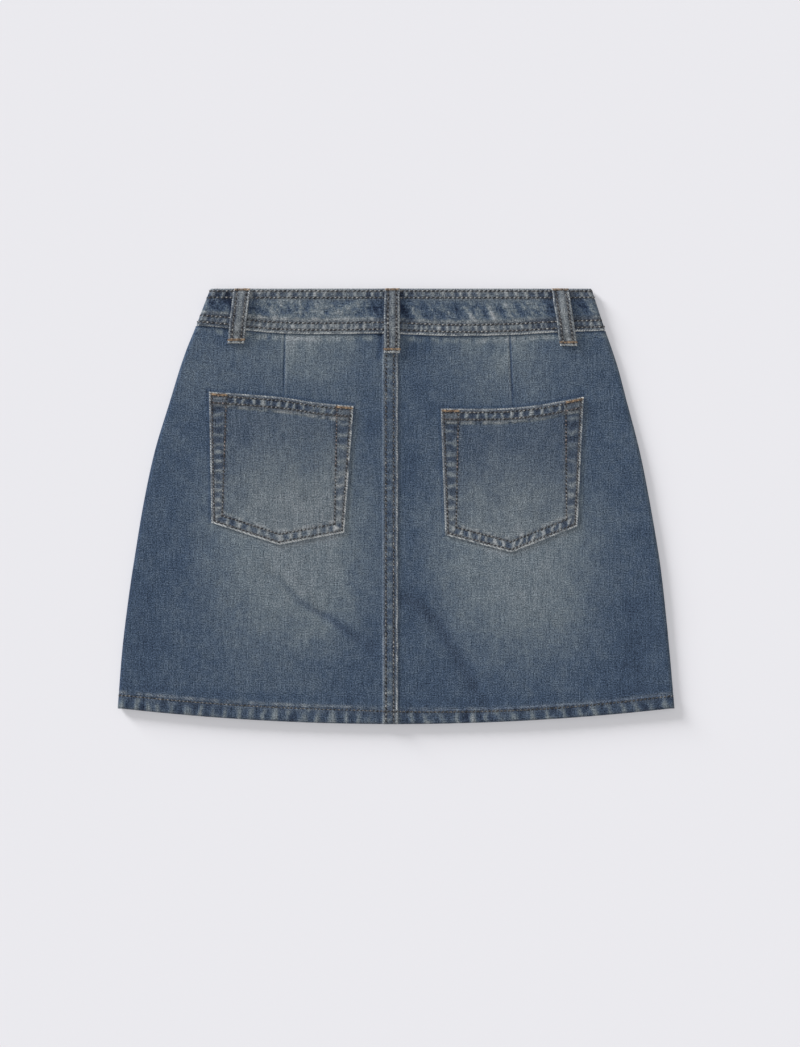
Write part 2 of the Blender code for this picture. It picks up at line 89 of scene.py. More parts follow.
def two_tone(tree, share, first, second):
    """A colour from the first, at a share of 0, to the second, at a share of 1."""
    made = add_node(tree, "ShaderNodeMix", {"data_type": "RGBA"}, _0=share)
    for socket, colour in zip((made.inputs[6], made.inputs[7]), (first, second)):
        if isinstance(colour, bpy.types.NodeSocket):
            tree.links.new(colour, socket)
        else:
            socket.default_value = (*colour, 1.0)
    return made.outputs[2]


def new_material(name, roughness, specular=0.5):
    material = bpy.data.materials.new(name)
    material.use_nodes = True
    tree = material.node_tree
    shader = tree.nodes["Principled BSDF"]
    shader.inputs["Roughness"].default_value = roughness
    shader.inputs["Specular IOR Level"].default_value = specular
    return material, tree, shader


def add_piece(name, mesh, material):
    mesh.materials.clear()
    mesh.materials.append(material)
    piece = bpy.data.objects.new(name, mesh)
    bpy.context.scene.collection.objects.link(piece)
    return piece


table_paint, tree, shader = new_material("pale_table", 1.0, 0.0)
mottle = add_node(tree, "ShaderNodeTexNoise", None, Scale=3.0, Detail=2.0)
tint = two_tone(tree, mottle.outputs[0], (0.800, 0.795, 0.829), (0.804, 0.799, 0.833))
tree.links.new(tint, shader.inputs["Base Color"])

table_mesh = bpy.data.meshes.new("table")
corners = ((-1, -1), (1, -1), (1, 1), (-1, 1))
table_mesh.from_pydata(
    [(TABLE_REACH * MM * a, TABLE_REACH * MM * b, TABLE_LEVEL * MM) for a, b in corners],
    [],
    [(0, 1, 2, 3)],
)
table = add_piece("table", table_mesh, table_paint)

world = bpy.data.worlds.new("daylight")
bpy.context.scene.world = world
world.use_nodes = True
sky = world.node_tree.nodes["Background"]
sky.inputs["Color"].default_value = (1.0, 1.0, 1.0, 1.0)
sky.inputs["Strength"].default_value = 0.30

Lamp = namedtuple("Lamp", "name from_left from_top height strength softness")
for lamp in (
    Lamp("window", 0.80, 0.76, 0.28, 4.50, 20.0),
    Lamp("ceiling", 0.0, 0.0, 1.0, 1.19, 20.0),
):
    light = bpy.data.lights.new(lamp.name, "SUN")
    light.energy = lamp.strength
    light.angle = math.radians(lamp.softness)
    sun = bpy.data.objects.new(lamp.name, light)
    away = Vector((-lamp.from_left, lamp.from_top, lamp.height))
    sun.rotation_euler = away.to_track_quat("Z", "Y").to_euler()
    sun.location = away
    bpy.context.scene.collection.objects.link(sun)

camera_data = bpy.data.cameras.new("camera")
camera_data.lens = LENS
camera_data.sensor_width = SENSOR
camera = bpy.data.objects.new("camera", camera_data)
distance = FRAME_HEIGHT * LENS / SENSOR
camera.location = (FRAME_MIDDLE[0] * MM, FRAME_MIDDLE[1] * MM, (distance + FACE_HEIGHT) * MM)
bpy.context.scene.collection.objects.link(camera)
bpy.context.scene.camera = camera
bpy.context.scene.view_settings.view_transform = "Standard"

# ---------------------------------------------------------------- back panels
# Two panels of washed indigo twill, felled together down the middle: the left one laps over the
# right, and two rows of stitches hold the four layers down. Each has a waist dart and a hem that
# is turned twice and sewn, which ropes into slanting ridges when it is washed.

CLOTH = 1.2
GAP = 0.3
HEM_WALL = 2.2
HEM_DEPTH = 11.0
HEM_END = HEM_DEPTH + 3.0  # above this a panel's rows of points are evenly spaced
HEM_RISE = 0.7
HEM_ROPE_PITCH = 11.4  # of the ridges that slant across the washed hem
FELL_WIDTH = 12.6
FELL_RISE = 1.1
SEAM_ROWS = (3.4, 10.1)  # the two rows of the felled seam, from its folded edge
STEP_RUN = 0.9
EDGE_ROUNDING = 0.5
SIDE_HEIGHT = 5.0
SIDE_ROLL = 4.0
HEM_LOWEST = -189.7
HEM_SWEEP = 14.0
HEM_HALF_WIDTH = 243.0
WAIST_TOP = 190.4
BACK_SEAM_X = 1.6
HEM_GROOVE = 0.9  # half width of what the hem's row of stitches pulls in
SIDE_PAINTED_LIGHT = 0.30  # painted light and shade: the right side's fold, shaded from the window, is paler than the panel, and the lit left side's is darker
SIDE_PAINTED_LIGHT_RUN = 3.4

Station = namedtuple("Station", "y left right")
OUTLINE = (
    Station(-176.0, -243.0, 243.5),
    Station(-125.0, -239.0, 239.1),
    Station(-81.0, -233.7, 234.7),
    Station(-46.0, -228.5, 230.4),
    Station(6.0, -219.8, 221.6),
    Station(50.0, -210.2, 212.8),
    Station(93.0, -197.1, 201.6),
    Station(119.0, -189.2, 194.8),
    Station(137.0, -183.0, 189.1),
    Station(154.0, -176.1, 183.0),
    Station(172.0, -169.2, 177.0),
    Station(190.0, -162.2, 171.2),
)
BACK_WAIST_SEAM = (
    (-175.0, 158.6),
    (-147.0, 156.0),
    (-128.0, 153.7),
    (-97.0, 151.3),
    (-57.0, 150.7),
    (-11.0, 151.2),
    (48.0, 149.1),
    (100.0, 150.0),
    (141.0, 152.3),
    (183.0, 153.8),
)
Swell = namedtuple("Swell", "x y width length rise")
SWELLS = (
    Swell(10.0, 132.0, 70.0, 92.0, 1.1),
    Swell(-125.0, -70.0, 70.0, 80.0, 1.1),
    Swell(130.0, -55.0, 75.0, 85.0, 1.2),
    Swell(-105.0, 60.0, 60.0, 60.0, 0.4),
    Swell(105.0, 55.0, 60.0, 60.0, 0.4),
)
# Creases as soft troughs: the broad ones are the solids' own, and the narrow ones lie in them.
# A crease's shade is painted shade: the cloth is painted darker and greyer along it.
Crease = namedtuple("Crease", "x0 y0 x1 y1 width depth shade")
BROAD_CREASES = (
    Crease(-108.0, -57.0, -62.0, -90.0, 9.0, 0.7, 0.0),
    Crease(-62.0, -90.0, -17.0, -118.0, 9.0, 0.6, 0.0),
    Crease(14.0, -80.0, 40.0, -102.0, 13.0, 0.5, 0.0),
    Crease(40.0, -102.0, 77.0, -168.0, 14.0, 0.7, 0.0),
    Crease(196.0, -92.0, 222.0, -122.0, 14.0, 0.4, 0.0),
)
FINE_CREASES = (
    Crease(-110.0, -58.0, -98.0, -66.5, 3.2, 0.35, 0.18),
    Crease(-98.0, -66.5, -82.5, -83.0, 3.0, 0.45, 0.34),
    Crease(-82.5, -83.0, -74.0, -89.5, 3.2, 0.50, 0.44),
    Crease(-74.0, -89.5, -57.5, -97.0, 3.0, 0.55, 0.50),
    Crease(-57.5, -97.0, -45.5, -106.5, 3.0, 0.55, 0.46),
    Crease(-45.5, -106.5, -33.0, -115.5, 4.0, 0.50, 0.42),
    Crease(-33.0, -115.5, -22.0, -122.0, 6.0, 0.35, 0.24),
    Crease(10.0, -80.0, 27.0, -91.0, 7.0, 0.35, 0.34),
    Crease(27.0, -91.0, 40.0, -107.0, 6.5, 0.45, 0.42),
    Crease(40.0, -107.0, 54.0, -129.5, 6.0, 0.45, 0.42),
    Crease(54.0, -129.5, 67.0, -157.0, 7.0, 0.40, 0.30),
    Crease(68.0, -157.0, 76.0, -174.0, 8.0, 0.30, 0.12),
    Crease(204.0, -90.0, 214.0, -140.0, 9.0, 0.20, 0.05),
)
LOOP_FOLD = Crease(-12.5, 151.0, -14.5, 131.0, 3.0, 0.3, 0.5)
Dart = namedtuple("Dart", "top_x end_x end_y")
DART_LEFT = Dart(-96.7, -98.0, 88.0)
DART_RIGHT = Dart(99.4, 102.4, 80.0)
DART_FADE = 30.0
DART_REACH = 4.0  # of the close columns of points on each side of a dart
# What is sewn on the panels: the pockets' corners, with the spacing and strength of the puckers
# between their double rows, and the belt loops
Puckers = namedtuple("Puckers", "pitch strength")
Pocket = namedtuple("Pocket", "seed top bottom wear ridge tone left_side right_side low_edge mouth")
POCKET_LEFT = Pocket(
    seed=61,
    top=((-162.9, 100.3), (-128.0, 97.9), (-98.0, 95.2), (-66.0, 90.4), (-36.7, 87.9)),
    bottom=((-160.8, -14.0), (-102.0, -33.2), (-44.8, -22.6)),
    wear=0.90,
    ridge=0.60,
    tone=0.0,
    left_side=Puckers(8.0, 0.74),
    right_side=Puckers(10.3, 0.54),
    low_edge=Puckers(8.5, 0.86),
    mouth=Puckers(7.8, 0.90),
)
POCKET_RIGHT = Pocket(
    seed=81,
    top=((39.3, 85.7), (70.0, 85.4), (98.0, 86.0), (128.5, 89.3), (164.2, 96.1)),
    bottom=((43.3, -24.8), (101.1, -39.9), (158.6, -16.9)),
    wear=0.68,
    ridge=0.82,
    tone=-0.11,
    left_side=Puckers(9.3, 0.66),
    right_side=Puckers(10.9, 0.58),
    low_edge=Puckers(7.2, 0.86),
    mouth=Puckers(7.9, 0.86),
)
Loop = namedtuple("Loop", "seed name node top_x bottom_x bottom_y width on_seam")
BELT_LOOPS = (
    Loop(100, "belt_loop_strap_left", "belt_loop_left", -133.8, -139.7, 142.4, 14.8, False),
    Loop(110, "belt_loop_strap_centre", "belt_loop_centre", -3.1, -3.1, 134.0, 13.9, True),
    Loop(120, "belt_loop_strap_right", "belt_loop_right", 143.3, 151.2, 140.2, 15.3, False),
)
# Ovals that washing has faded, or left darker where the strength is below 0. Width and length are
# from the middle to where the strength has fallen to a half. On this scale 1 is the palest seat.
Fade = namedtuple("Fade", "x y width length strength")
UNFADED = 0.09
HALF_STRENGTH = 0.693
FADE_POWER = 1.4  # above 1 an oval is even in its middle and falls off faster outside
FADES = (
    Fade(-94.0, -32.0, 64.0, 84.0, 0.78),  # seat, left
    Fade(105.0, -48.0, 66.0, 74.0, 0.78),  # seat, right
    Fade(-72.0, 156.0, 52.0, 40.0, 0.66),  # under the waistband
    Fade(98.0, 152.0, 50.0, 46.0, 0.52),
    Fade(-180.0, 122.0, 50.0, 26.0, 0.25),  # hip, left
    Fade(-62.0, 20.0, 22.0, 40.0, 0.09),
    Fade(-68.0, -88.0, 30.0, 26.0, 0.13),
    Fade(-52.0, 5.0, 9.0, 42.0, 0.15),
    Fade(-64.0, 111.0, 9.0, 12.0, 0.26),
    Fade(-36.0, 97.0, 9.0, 8.0, 0.14),
    Fade(-110.0, 86.0, 7.0, 11.0, 0.13),
    Fade(-69.0, 86.0, 6.0, 8.0, 0.15),
    Fade(-33.0, 71.0, 5.0, 9.0, 0.14),
    Fade(-158.0, 88.0, 6.0, 7.0, 0.13),
    Fade(-38.0, 40.0, 9.0, 6.0, 0.12),
    Fade(230.0, -52.0, 4.0, 26.0, 0.12),
    Fade(-195.0, -178.0, 18.0, 8.0, 0.10),
    Fade(-56.0, 142.0, 10.0, 9.0, 0.10),
    Fade(-9.0, 116.0, 9.0, 16.0, 0.19),
    Fade(75.0, 99.0, 14.0, 12.0, 0.13),
    Fade(48.0, -3.0, 6.0, 23.0, 0.18),
    Fade(156.0, 3.0, 6.0, 24.0, 0.17),
    Fade(118.0, 14.0, 8.0, 9.0, 0.10),
    Fade(-165.0, -21.0, 8.0, 10.0, 0.21),
    Fade(-72.0, -109.0, 14.0, 7.0, 0.12),
    Fade(-98.0, -141.0, 12.0, 10.0, 0.09),
    Fade(74.0, 83.0, 12.0, 9.0, 0.11),
    Fade(122.0, 84.0, 11.0, 9.0, 0.11),
    Fade(140.0, -92.0, 22.0, 15.0, 0.10),
    Fade(-6.0, -150.0, 6.0, 16.0, 0.16),
    Fade(0.0, -100.0, 20.0, 40.0, -0.09),  # beside the centre seam, and other darker places
    Fade(-77.0, 41.0, 8.0, 22.0, -0.28),
    Fade(-86.0, 82.0, 6.0, 8.0, -0.13),
    Fade(-127.0, 70.0, 7.0, 13.0, -0.18),
    Fade(-21.0, 66.0, 9.0, 12.0, -0.14),
    Fade(12.0, 30.0, 7.0, 52.0, -0.10),
    Fade(17.0, -46.0, 8.0, 22.0, -0.13),
    Fade(26.0, -78.0, 9.0, 14.0, -0.08),
    Fade(-22.0, -126.0, 13.0, 16.0, -0.13),
    Fade(-67.0, -139.0, 14.0, 7.0, -0.19),
    Fade(-31.0, -155.0, 8.0, 12.0, -0.10),
    Fade(-29.0, -68.0, 8.0, 10.0, -0.10),
    Fade(-185.0, -40.0, 8.0, 28.0, -0.12),
    Fade(-131.0, -16.0, 11.0, 6.0, -0.10),
    Fade(64.0, 66.0, 10.0, 7.0, -0.12),
    Fade(146.0, 88.0, 7.0, 8.0, -0.12),
    Fade(108.0, 106.0, 6.0, 8.0, -0.10),
    Fade(213.0, 6.0, 9.0, 16.0, -0.08),
    Fade(-22.0, 149.0, 9.0, 5.0, -0.16),
    Fade(158.0, 148.0, 5.0, 5.0, -0.20),
    Fade(91.0, -68.0, 8.0, 8.0, -0.10),
    Fade(95.0, -16.0, 8.0, 10.0, -0.10),
    Fade(116.0, -46.0, 12.0, 7.0, -0.10),
    Fade(139.0, -147.0, 10.0, 10.0, -0.08),
    Fade(192.0, -158.0, 22.0, 14.0, -0.12),
    Fade(-114.0, -94.0, 12.0, 8.0, -0.11),
    Fade(-112.0, -32.0, 20.0, 6.0, -0.10),
    Fade(60.0, -165.0, 60.0, 25.0, -0.10),
    Fade(-235.0, -110.0, 30.0, 90.0, -0.15),
    Fade(225.0, -120.0, 40.0, 90.0, -0.12),
)


def mix(start, end, share):
    return start + (end - start) * share


def ease(share):
    share = np.clip(share, 0.0, 1.0)
    return share * share * (3.0 - 2.0 * share)


def bell(distance, width):
    return np.exp(-((distance / width) ** 2))


def smooth_line(points):
    """A function that passes smoothly through (position, value) points in rising order."""
    places = np.array([point[0] for point in points])
    values = np.array([point[1] for point in points])
    slopes = np.empty(len(points))
    slopes[1:-1] = (values[2:] - values[:-2]) / (places[2:] - places[:-2])
    slopes[0] = (values[1] - values[0]) / (places[1] - places[0])
    slopes[-1] = (values[-1] - values[-2]) / (places[-1] - places[-2])

    def value_at(place):
        i = np.clip(np.searchsorted(places, place, side="right") - 1, 0, len(places) - 2)
        span = places[i + 1] - places[i]
        t = np.clip((place - places[i]) / span, 0.0, 1.0)
        past = place - np.clip(place, places[0], places[-1])
        lead_in = slopes[i] * span * t * (1.0 - t) ** 2
        lead_out = slopes[i + 1] * span * t * t * (t - 1.0)
        straight_on = past * np.where(past > 0.0, slopes[-1], slopes[0])
        return mix(values[i], values[i + 1], ease(t)) + lead_in + lead_out + straight_on

    return value_at


left_side = smooth_line([(row.y, row.left) for row in OUTLINE])
right_side = smooth_line([(row.y, row.right) for row in OUTLINE])
back_waist_seam = smooth_line(BACK_WAIST_SEAM)


def side_line(sign):
    return right_side if sign > 0 else left_side


def hem_line(x):
    return HEM_LOWEST + HEM_SWEEP * (x / HEM_HALF_WIDTH) ** 2


# Height of the hem's row of stitches above the edge
HEM_ROW = (
    (-243.0, 11.6),
    (-150.0, 11.9),
    (-40.0, 11.8),
    (25.0, 10.5),
    (110.0, 9.4),
    (170.0, 9.7),
    (243.0, 11.0),
)
hem_row = smooth_line(HEM_ROW)


def unevenness(x, y, size, seed):
    """Soft random bumps from -1 to 1, each about `size` across, the same on every run."""
    count = 97  # of bumps each way before they repeat
    bumps = np.random.default_rng(seed).uniform(-1.0, 1.0, (count, count))
    u = np.asarray(x) / size + 31.7  # so that no seam or edge falls on the bumps' own grid
    v = np.asarray(y) / size + 47.3
    i = np.floor(u).astype(int)
    j = np.floor(v).astype(int)
    across = ease(u - i)
    along = ease(v - j)
    low = mix(bumps[i % count, j % count], bumps[(i + 1) % count, j % count], across)
    high = mix(bumps[i % count, (j + 1) % count], bumps[(i + 1) % count, (j + 1) % count], across)
    return mix(low, high, along)


def ladder(along, pitch, seed):
    """Puckers along stitches: pale narrow crests and dark wide troughs, unevenly spaced."""
    drift = unevenness(along, 0.0, pitch * 2.3, seed) * 0.42
    strength = 0.92 + 0.50 * unevenness(along, 50.0, pitch * 1.3, seed + 1)
    turn = 2.0 * math.pi * (along / pitch + drift)
    return (0.88 * np.cos(turn) + 0.24 * np.cos(2.0 * turn)) * strength


def rumple(x, y, seed):
    """Small pinches that a row of stitches leaves in the cloth beside it."""
    return unevenness(x, y, 3.2, seed) + 0.6 * unevenness(x, y, 1.9, seed + 1)


def between(distance, low, high):
    """1 in the middle of a strip and 0 at its two edges."""
    share = np.clip((distance - low) / (high - low), 0.0, 1.0)
    return np.sin(math.pi * share) ** 0.7


def crease_bell(crease, x, y):
    run_x = crease.x1 - crease.x0
    run_y = crease.y1 - crease.y0
    along = ((x - crease.x0) * run_x + (y - crease.y0) * run_y) / (run_x**2 + run_y**2)
    along = np.clip(along, 0.0, 1.0)
    away = np.hypot(x - crease.x0 - run_x * along, y - crease.y0 - run_y * along)
    return bell(away, crease.width)


def pocket_edges(shape):
    """The distance of points inside a pocket from each of its edges, as functions of (x, y)."""
    top_line = smooth_line(shape.top)
    (left_x, left_y), (point_x, point_y), (right_x, right_y) = shape.bottom
    (top_left_x, top_left_y), (top_right_x, top_right_y) = shape.top[0], shape.top[-1]

    def left(x, y):
        return x - mix(left_x, top_left_x, (y - left_y) / (top_left_y - left_y))

    def right(x, y):
        return mix(right_x, top_right_x, (y - right_y) / (top_right_y - right_y)) - x

    def bottom(x, y):
        slope_1 = (point_y - left_y) / (point_x - left_x)
        slope_2 = (right_y - point_y) / (right_x - point_x)
        rise_1 = (y - left_y - slope_1 * (x - left_x)) / math.hypot(1.0, slope_1)
        rise_2 = (y - point_y - slope_2 * (x - point_x)) / math.hypot(1.0, slope_2)
        return np.minimum(rise_1, rise_2)

    def top(x, y):
        return top_line(x) - y

    return left, right, bottom, top


def beside_pieces(x, y):
    """How close the panels' points are to the edge of a pocket or a belt loop beside them.

    The far edges of the pockets already have the pocket's own shadow, so there it is below zero, which
    paints light into that shadow.
    """
    near = np.zeros(np.broadcast(x, y).shape)
    for shape in (POCKET_LEFT, POCKET_RIGHT):
        left, right, bottom, top = (edge(x, y) for edge in pocket_edges(shape))
        lit = -np.minimum(left, top)
        far = -np.minimum(right, bottom)
        # beyond a pocket's far edge: painted light that softens the pocket's shadow
        near += np.where(lit > far, bell(lit - 1.6, 1.2), -0.5 * bell(far - 2.4, 1.8) * (far > 0.0))
    return np.maximum(near, beside_loops(x, y)) + np.minimum(near, 0.0)


def beside_loops(x, y):
    near = np.zeros(np.broadcast(x, y).shape)
    for loop in BELT_LOOPS:
        share = (WAIST_TOP - y) / (WAIST_TOP - loop.bottom_y)
        outside = mix(loop.top_x, loop.bottom_x, share) - loop.width / 2.0 - x
        reach = ease((y - loop.bottom_y - 2.0) / 12.0)
        near = np.maximum(near, bell(outside - 1.8, 3.0) * reach)
    return near


def back_height(x, y):
    """Outer face of the plain back cloth, as in the solids."""
    height = np.full(np.broadcast(x, y).shape, SIDE_HEIGHT)
    for swell in SWELLS:
        spread = ((x - swell.x) / swell.width) ** 2 + ((y - swell.y) / swell.length) ** 2
        height += swell.rise * np.exp(-spread)
    for crease in BROAD_CREASES:
        height -= crease.depth * crease_bell(crease, x, y)
    return height


def drape(x, y):
    """Small unevenness of the resting cloth, and its narrow creases."""
    height = 0.16 * unevenness(x, y, 42.0, 1) + 0.07 * unevenness(x, y, 15.0, 2)
    height -= fine_creases(x, y)[0]
    return height


def fine_creases(x, y):
    """Depth and painted shade of the narrow creases; where two of them join, the stronger one counts.
    """
    depth = shade = 0.0
    for crease in FINE_CREASES:
        near = crease_bell(crease, x, y)
        depth = np.maximum(depth, crease.depth * near)
        shade = np.maximum(shade, crease.shade * near)
    return depth, shade


def fade_and_crease_shade(x, y):
    """How washed out the back is, less the narrow creases' painted shade: 0 is dark indigo, and 1 the
    palest seat.
    """
    wash_and_shading = np.full(np.broadcast(x, y).shape, UNFADED)
    for fade in FADES:
        spread = ((x - fade.x) / fade.width) ** 2 + ((y - fade.y) / fade.length) ** 2
        wash_and_shading += fade.strength * np.exp(-HALF_STRENGTH * spread**FADE_POWER)
    # painted shade along the narrow creases
    wash_and_shading -= fine_creases(x, y)[1]
    wash_and_shading += 0.08 * unevenness(x, y / 1.6, 14.0, 11) + 0.07 * unevenness(x, y / 1.5, 6.0, 12)
    return wash_and_shading


def dart_x(dart, y):
    top_y = back_waist_seam(dart.top_x)
    return mix(dart.end_x, dart.top_x, (y - dart.end_y) / (top_y - dart.end_y))


def back_face(x, y):
    """Height, wash and wear of the back panels' outer face at each point, with painted light and shade
    in the wash.
    """
    height = back_height(x, y) + drape(x, y)
    wash_and_shading = fade_and_crease_shade(x, y)
    worn = np.zeros_like(wash_and_shading)

    # hem: turned layers, one row of stitches, and the roping between it and the edge
    up = y - hem_line(x)
    past_row = up - hem_row(x)
    in_hem = 1.0 - ease((up - HEM_DEPTH) / (STEP_RUN + 0.8))
    height += HEM_RISE * in_hem
    height -= 0.35 * bell(past_row, HEM_GROOVE)
    height -= EDGE_ROUNDING * bell(up, 0.9)
    lean = mix(-0.1, 0.28, ease((x + 20.0) / 60.0)) * up
    ropes_at = np.where(x < 0.0, x, 0.86 * x) + lean + 1.5 * unevenness(x, up, 5.5, 33)
    ropes = ladder(ropes_at, HEM_ROPE_PITCH, 21)
    rope = ropes * between(up, -4.0, HEM_DEPTH)
    height += 0.25 * rope
    even = mix(0.06, 0.02, ease((x - 140.0) / 40.0))
    wash_and_shading += in_hem * (even + 0.60 * rope + 0.36 * rumple(x, up / 1.6, 22))
    wash_and_shading += (0.10 + 0.20 * unevenness(x, 0.0, 5.0, 31)) * bell(up - 1.4, 1.2)
    wash_and_shading += 0.30 * rumple(x, up, 24) * bell(past_row - 0.5, 3.2)
    pale = 0.8 + 0.8 * unevenness(x, 0.0, 9.0, 23) + 0.5 * ropes
    pale = pale * mix(1.7, 0.5, ease((x + 70.0) / 140.0))
    worn += 0.09 * bell(past_row - 2.8, 1.1) * pale
    wash_and_shading += 0.16 * bell(past_row - 2.8, 1.4) * pale
    # along the row: darker on the left, partly dirt and partly painted shade in its groove, and a
    # little paler on the right
    wash_and_shading -= mix(0.15, -0.07, ease((x + 40.0) / 180.0)) * bell(past_row, 1.8)
    wash_and_shading -= 0.10 * bell(past_row - 8.5, 3.5)
    dull_and_shade = 0.10 * in_hem + 0.16 * bell(past_row - 0.4, 3.0) + 0.22 * bell(up, 2.2)
    # the narrow creases' painted shade is greyer as well as darker
    dull_and_shade += 0.30 * fine_creases(x, y)[1]

    # felled seam: the strip, its two rows, and the fold that is worn pale along its edge
    across = BACK_SEAM_X - x
    on_strip = ease((across + 0.5) / 0.3) * (1.0 - ease((across - FELL_WIDTH) / STEP_RUN))
    height += FELL_RISE * on_strip
    fold = ladder(y, 8.5, 25)
    height += 0.12 * fold * between(across, SEAM_ROWS[0], SEAM_ROWS[1])
    wash_and_shading += on_strip * (0.10 + 0.28 * fold * between(across, SEAM_ROWS[0], SEAM_ROWS[1]))
    wash_and_shading += 0.28 * on_strip * ease((-120.0 - y) / 50.0)
    wash_and_shading += 0.24 * rumple(across, y / 1.8, 28) * on_strip
    # along each row the cloth is darker and greyer: partly dirt, partly painted shade in the row's
    # groove
    for row in SEAM_ROWS:
        height -= 0.32 * bell(across - row, 0.8)
        wash_and_shading -= 0.22 * bell(across - row, 1.3)
        dull_and_shade += 0.28 * bell(across - row, 2.4) * on_strip
    fray = 0.95 + 0.80 * unevenness(y, 0.0, 3.6, 26)
    wander = 0.5 * unevenness(y, 0.0, 4.2, 30)
    low_down = ease((-60.0 - y) / 100.0)
    worn += mix(0.44, 0.60, low_down) * bell(across - 0.5 - wander, 0.60) * fray * on_strip
    far_fray = 0.7 + 1.3 * unevenness(y, 0.0, 6.0, 27)
    worn += mix(0.06, 0.12, low_down) * bell(across - FELL_WIDTH + 0.5, 1.1) * far_fray
    dull_and_shade += 0.18 * bell(across - 0.9, 1.3) * on_strip
    # painted light on the right panel beside the strip, softening the strip's shadow there
    wash_and_shading += 0.14 * bell(across + 1.0, 1.2)

    # darts: a stitched line from the waist, painted dark as shade in its groove, with a pale ridge
    # beside it
    for dart, pale_side in ((DART_LEFT, 1.0), (DART_RIGHT, -1.0)):
        beside = (x - dart_x(dart, y)) * pale_side
        held = ease((y - dart.end_y) / DART_FADE)
        height -= 0.50 * bell(beside, 0.9) * held
        height += 0.15 * bell(beside - 2.4, 1.8) * held
        wash_and_shading -= 0.85 * bell(beside + 0.2, 0.8) * held
        worn += 0.09 * bell(beside - 1.6, 0.9) * held
        wash_and_shading += 0.14 * bell(beside - 7.0, 7.0) * held
    # painted shadow under the waistband's edge, then a pale rumpled ridge where the layers end
    below_band = back_waist_seam(x) - y
    wash_and_shading -= 0.44 * bell(below_band, 1.3)
    wash_and_shading += (0.28 + 0.46 * rumple(x, y / 1.6, 29)) * bell(below_band - 3.8, 2.8)
    wash_and_shading += 0.22 * unevenness(x, y / 2.2, 6.5, 32) * bell(below_band - 9.0, 9.0)
    height -= 0.15 * bell(below_band, 3.0)
    # unfaded close beside what is sewn on, with painted light in the pockets' shadows past their far
    # edges, and painted shade in a soft fold at the end of the middle loop
    wash_and_shading -= 0.36 * beside_pieces(x, y)
    wash_and_shading -= 0.50 * crease_bell(LOOP_FOLD, x, y)
    height -= 0.30 * crease_bell(LOOP_FOLD, x, y)
    return height, {"wash_and_shading": wash_and_shading, "worn": worn, "dull_and_shade": np.clip(dull_and_shade, 0.0, 0.75)}


SETTLING = 10  # rounds of working out x from y and y from x again, which settles in a few


def lay_grid(lines, counts, row_steps, waist, hem_inset=0.0):
    """Crossings of lines down a panel with rows across it.

    lines are functions x(y) from the panel's inner edge to its side, counts the columns between
    each two of them, and row_steps pairs of (height above the hem, share of the rest of the way).
    """
    counts = list(counts)
    steps = np.array(row_steps)
    ahead = np.concatenate([np.arange(n) / n for n in counts] + [[1.0]])
    block = np.concatenate([np.full(n, i) for i, n in enumerate(counts)] + [[len(counts) - 1]])
    y = np.zeros((len(steps), len(ahead)))
    for _ in range(SETTLING):
        edges = np.stack([line(y) + 0.0 * y for line in lines])
        x = np.empty_like(y)
        for i in range(len(counts)):
            here = block == i
            x[:, here] = mix(edges[i][:, here], edges[i + 1][:, here], ahead[None, here])
        low = hem_line(x) + hem_inset
        rest = waist(x) - GAP - low - HEM_END
        y = low + steps[:, :1] + steps[:, 1:] * rest
    return x, y


def roll_under(x, top, sign, turn, depth):
    """Points round the soft roll at the side; x is where the roll starts."""
    middle = top / 2.0
    reach = (SIDE_ROLL - depth) * np.sin(turn)
    return x + sign * reach, middle + (middle - depth) * np.cos(turn)


def raise_relief(tree, shader, height, strength, reach):
    """Fine relief of a finish, as a bump whose full height is `reach` millimetres."""
    settings = {"Height": height, "Strength": strength, "Distance": reach * MM}
    bump = add_node(tree, "ShaderNodeBump", None, **settings)
    tree.links.new(bump.outputs[0], shader.inputs["Normal"])


def roll_side(x, y, faces, depths, top, turns, sign, own_half, paint):
    """Carries a panel's grid and its paint on, half way round the soft roll at its side.

    faces are the heights of its outer and inner face, and depths how deep they lie in the cloth.
    top is the height of the back at the side, and own_half keeps a layer on its half of the roll.
    """
    grids = []
    for height, depth in zip(faces, depths):
        at_x, at_z = roll_under(x[:, -1:], top, sign, turns, depth)
        rolled = np.stack([at_x, y[:, -1:] + 0.0 * at_x, own_half(at_z)], axis=-1)
        grids.append(np.concatenate([np.stack([x, y, height], axis=-1), rolled], axis=1))
    arc = SIDE_ROLL * turns
    weave_x = np.concatenate([x, x[:, -1:] + sign * arc], axis=1)
    weave_y = np.concatenate([y, y[:, -1:] + 0.0 * arc], axis=1)
    for label, face in paint.items():
        paint[label] = np.concatenate([face, face[:, -1:] + 0.0 * arc], axis=1)
    return *grids, np.stack([weave_x, weave_y], axis=-1)


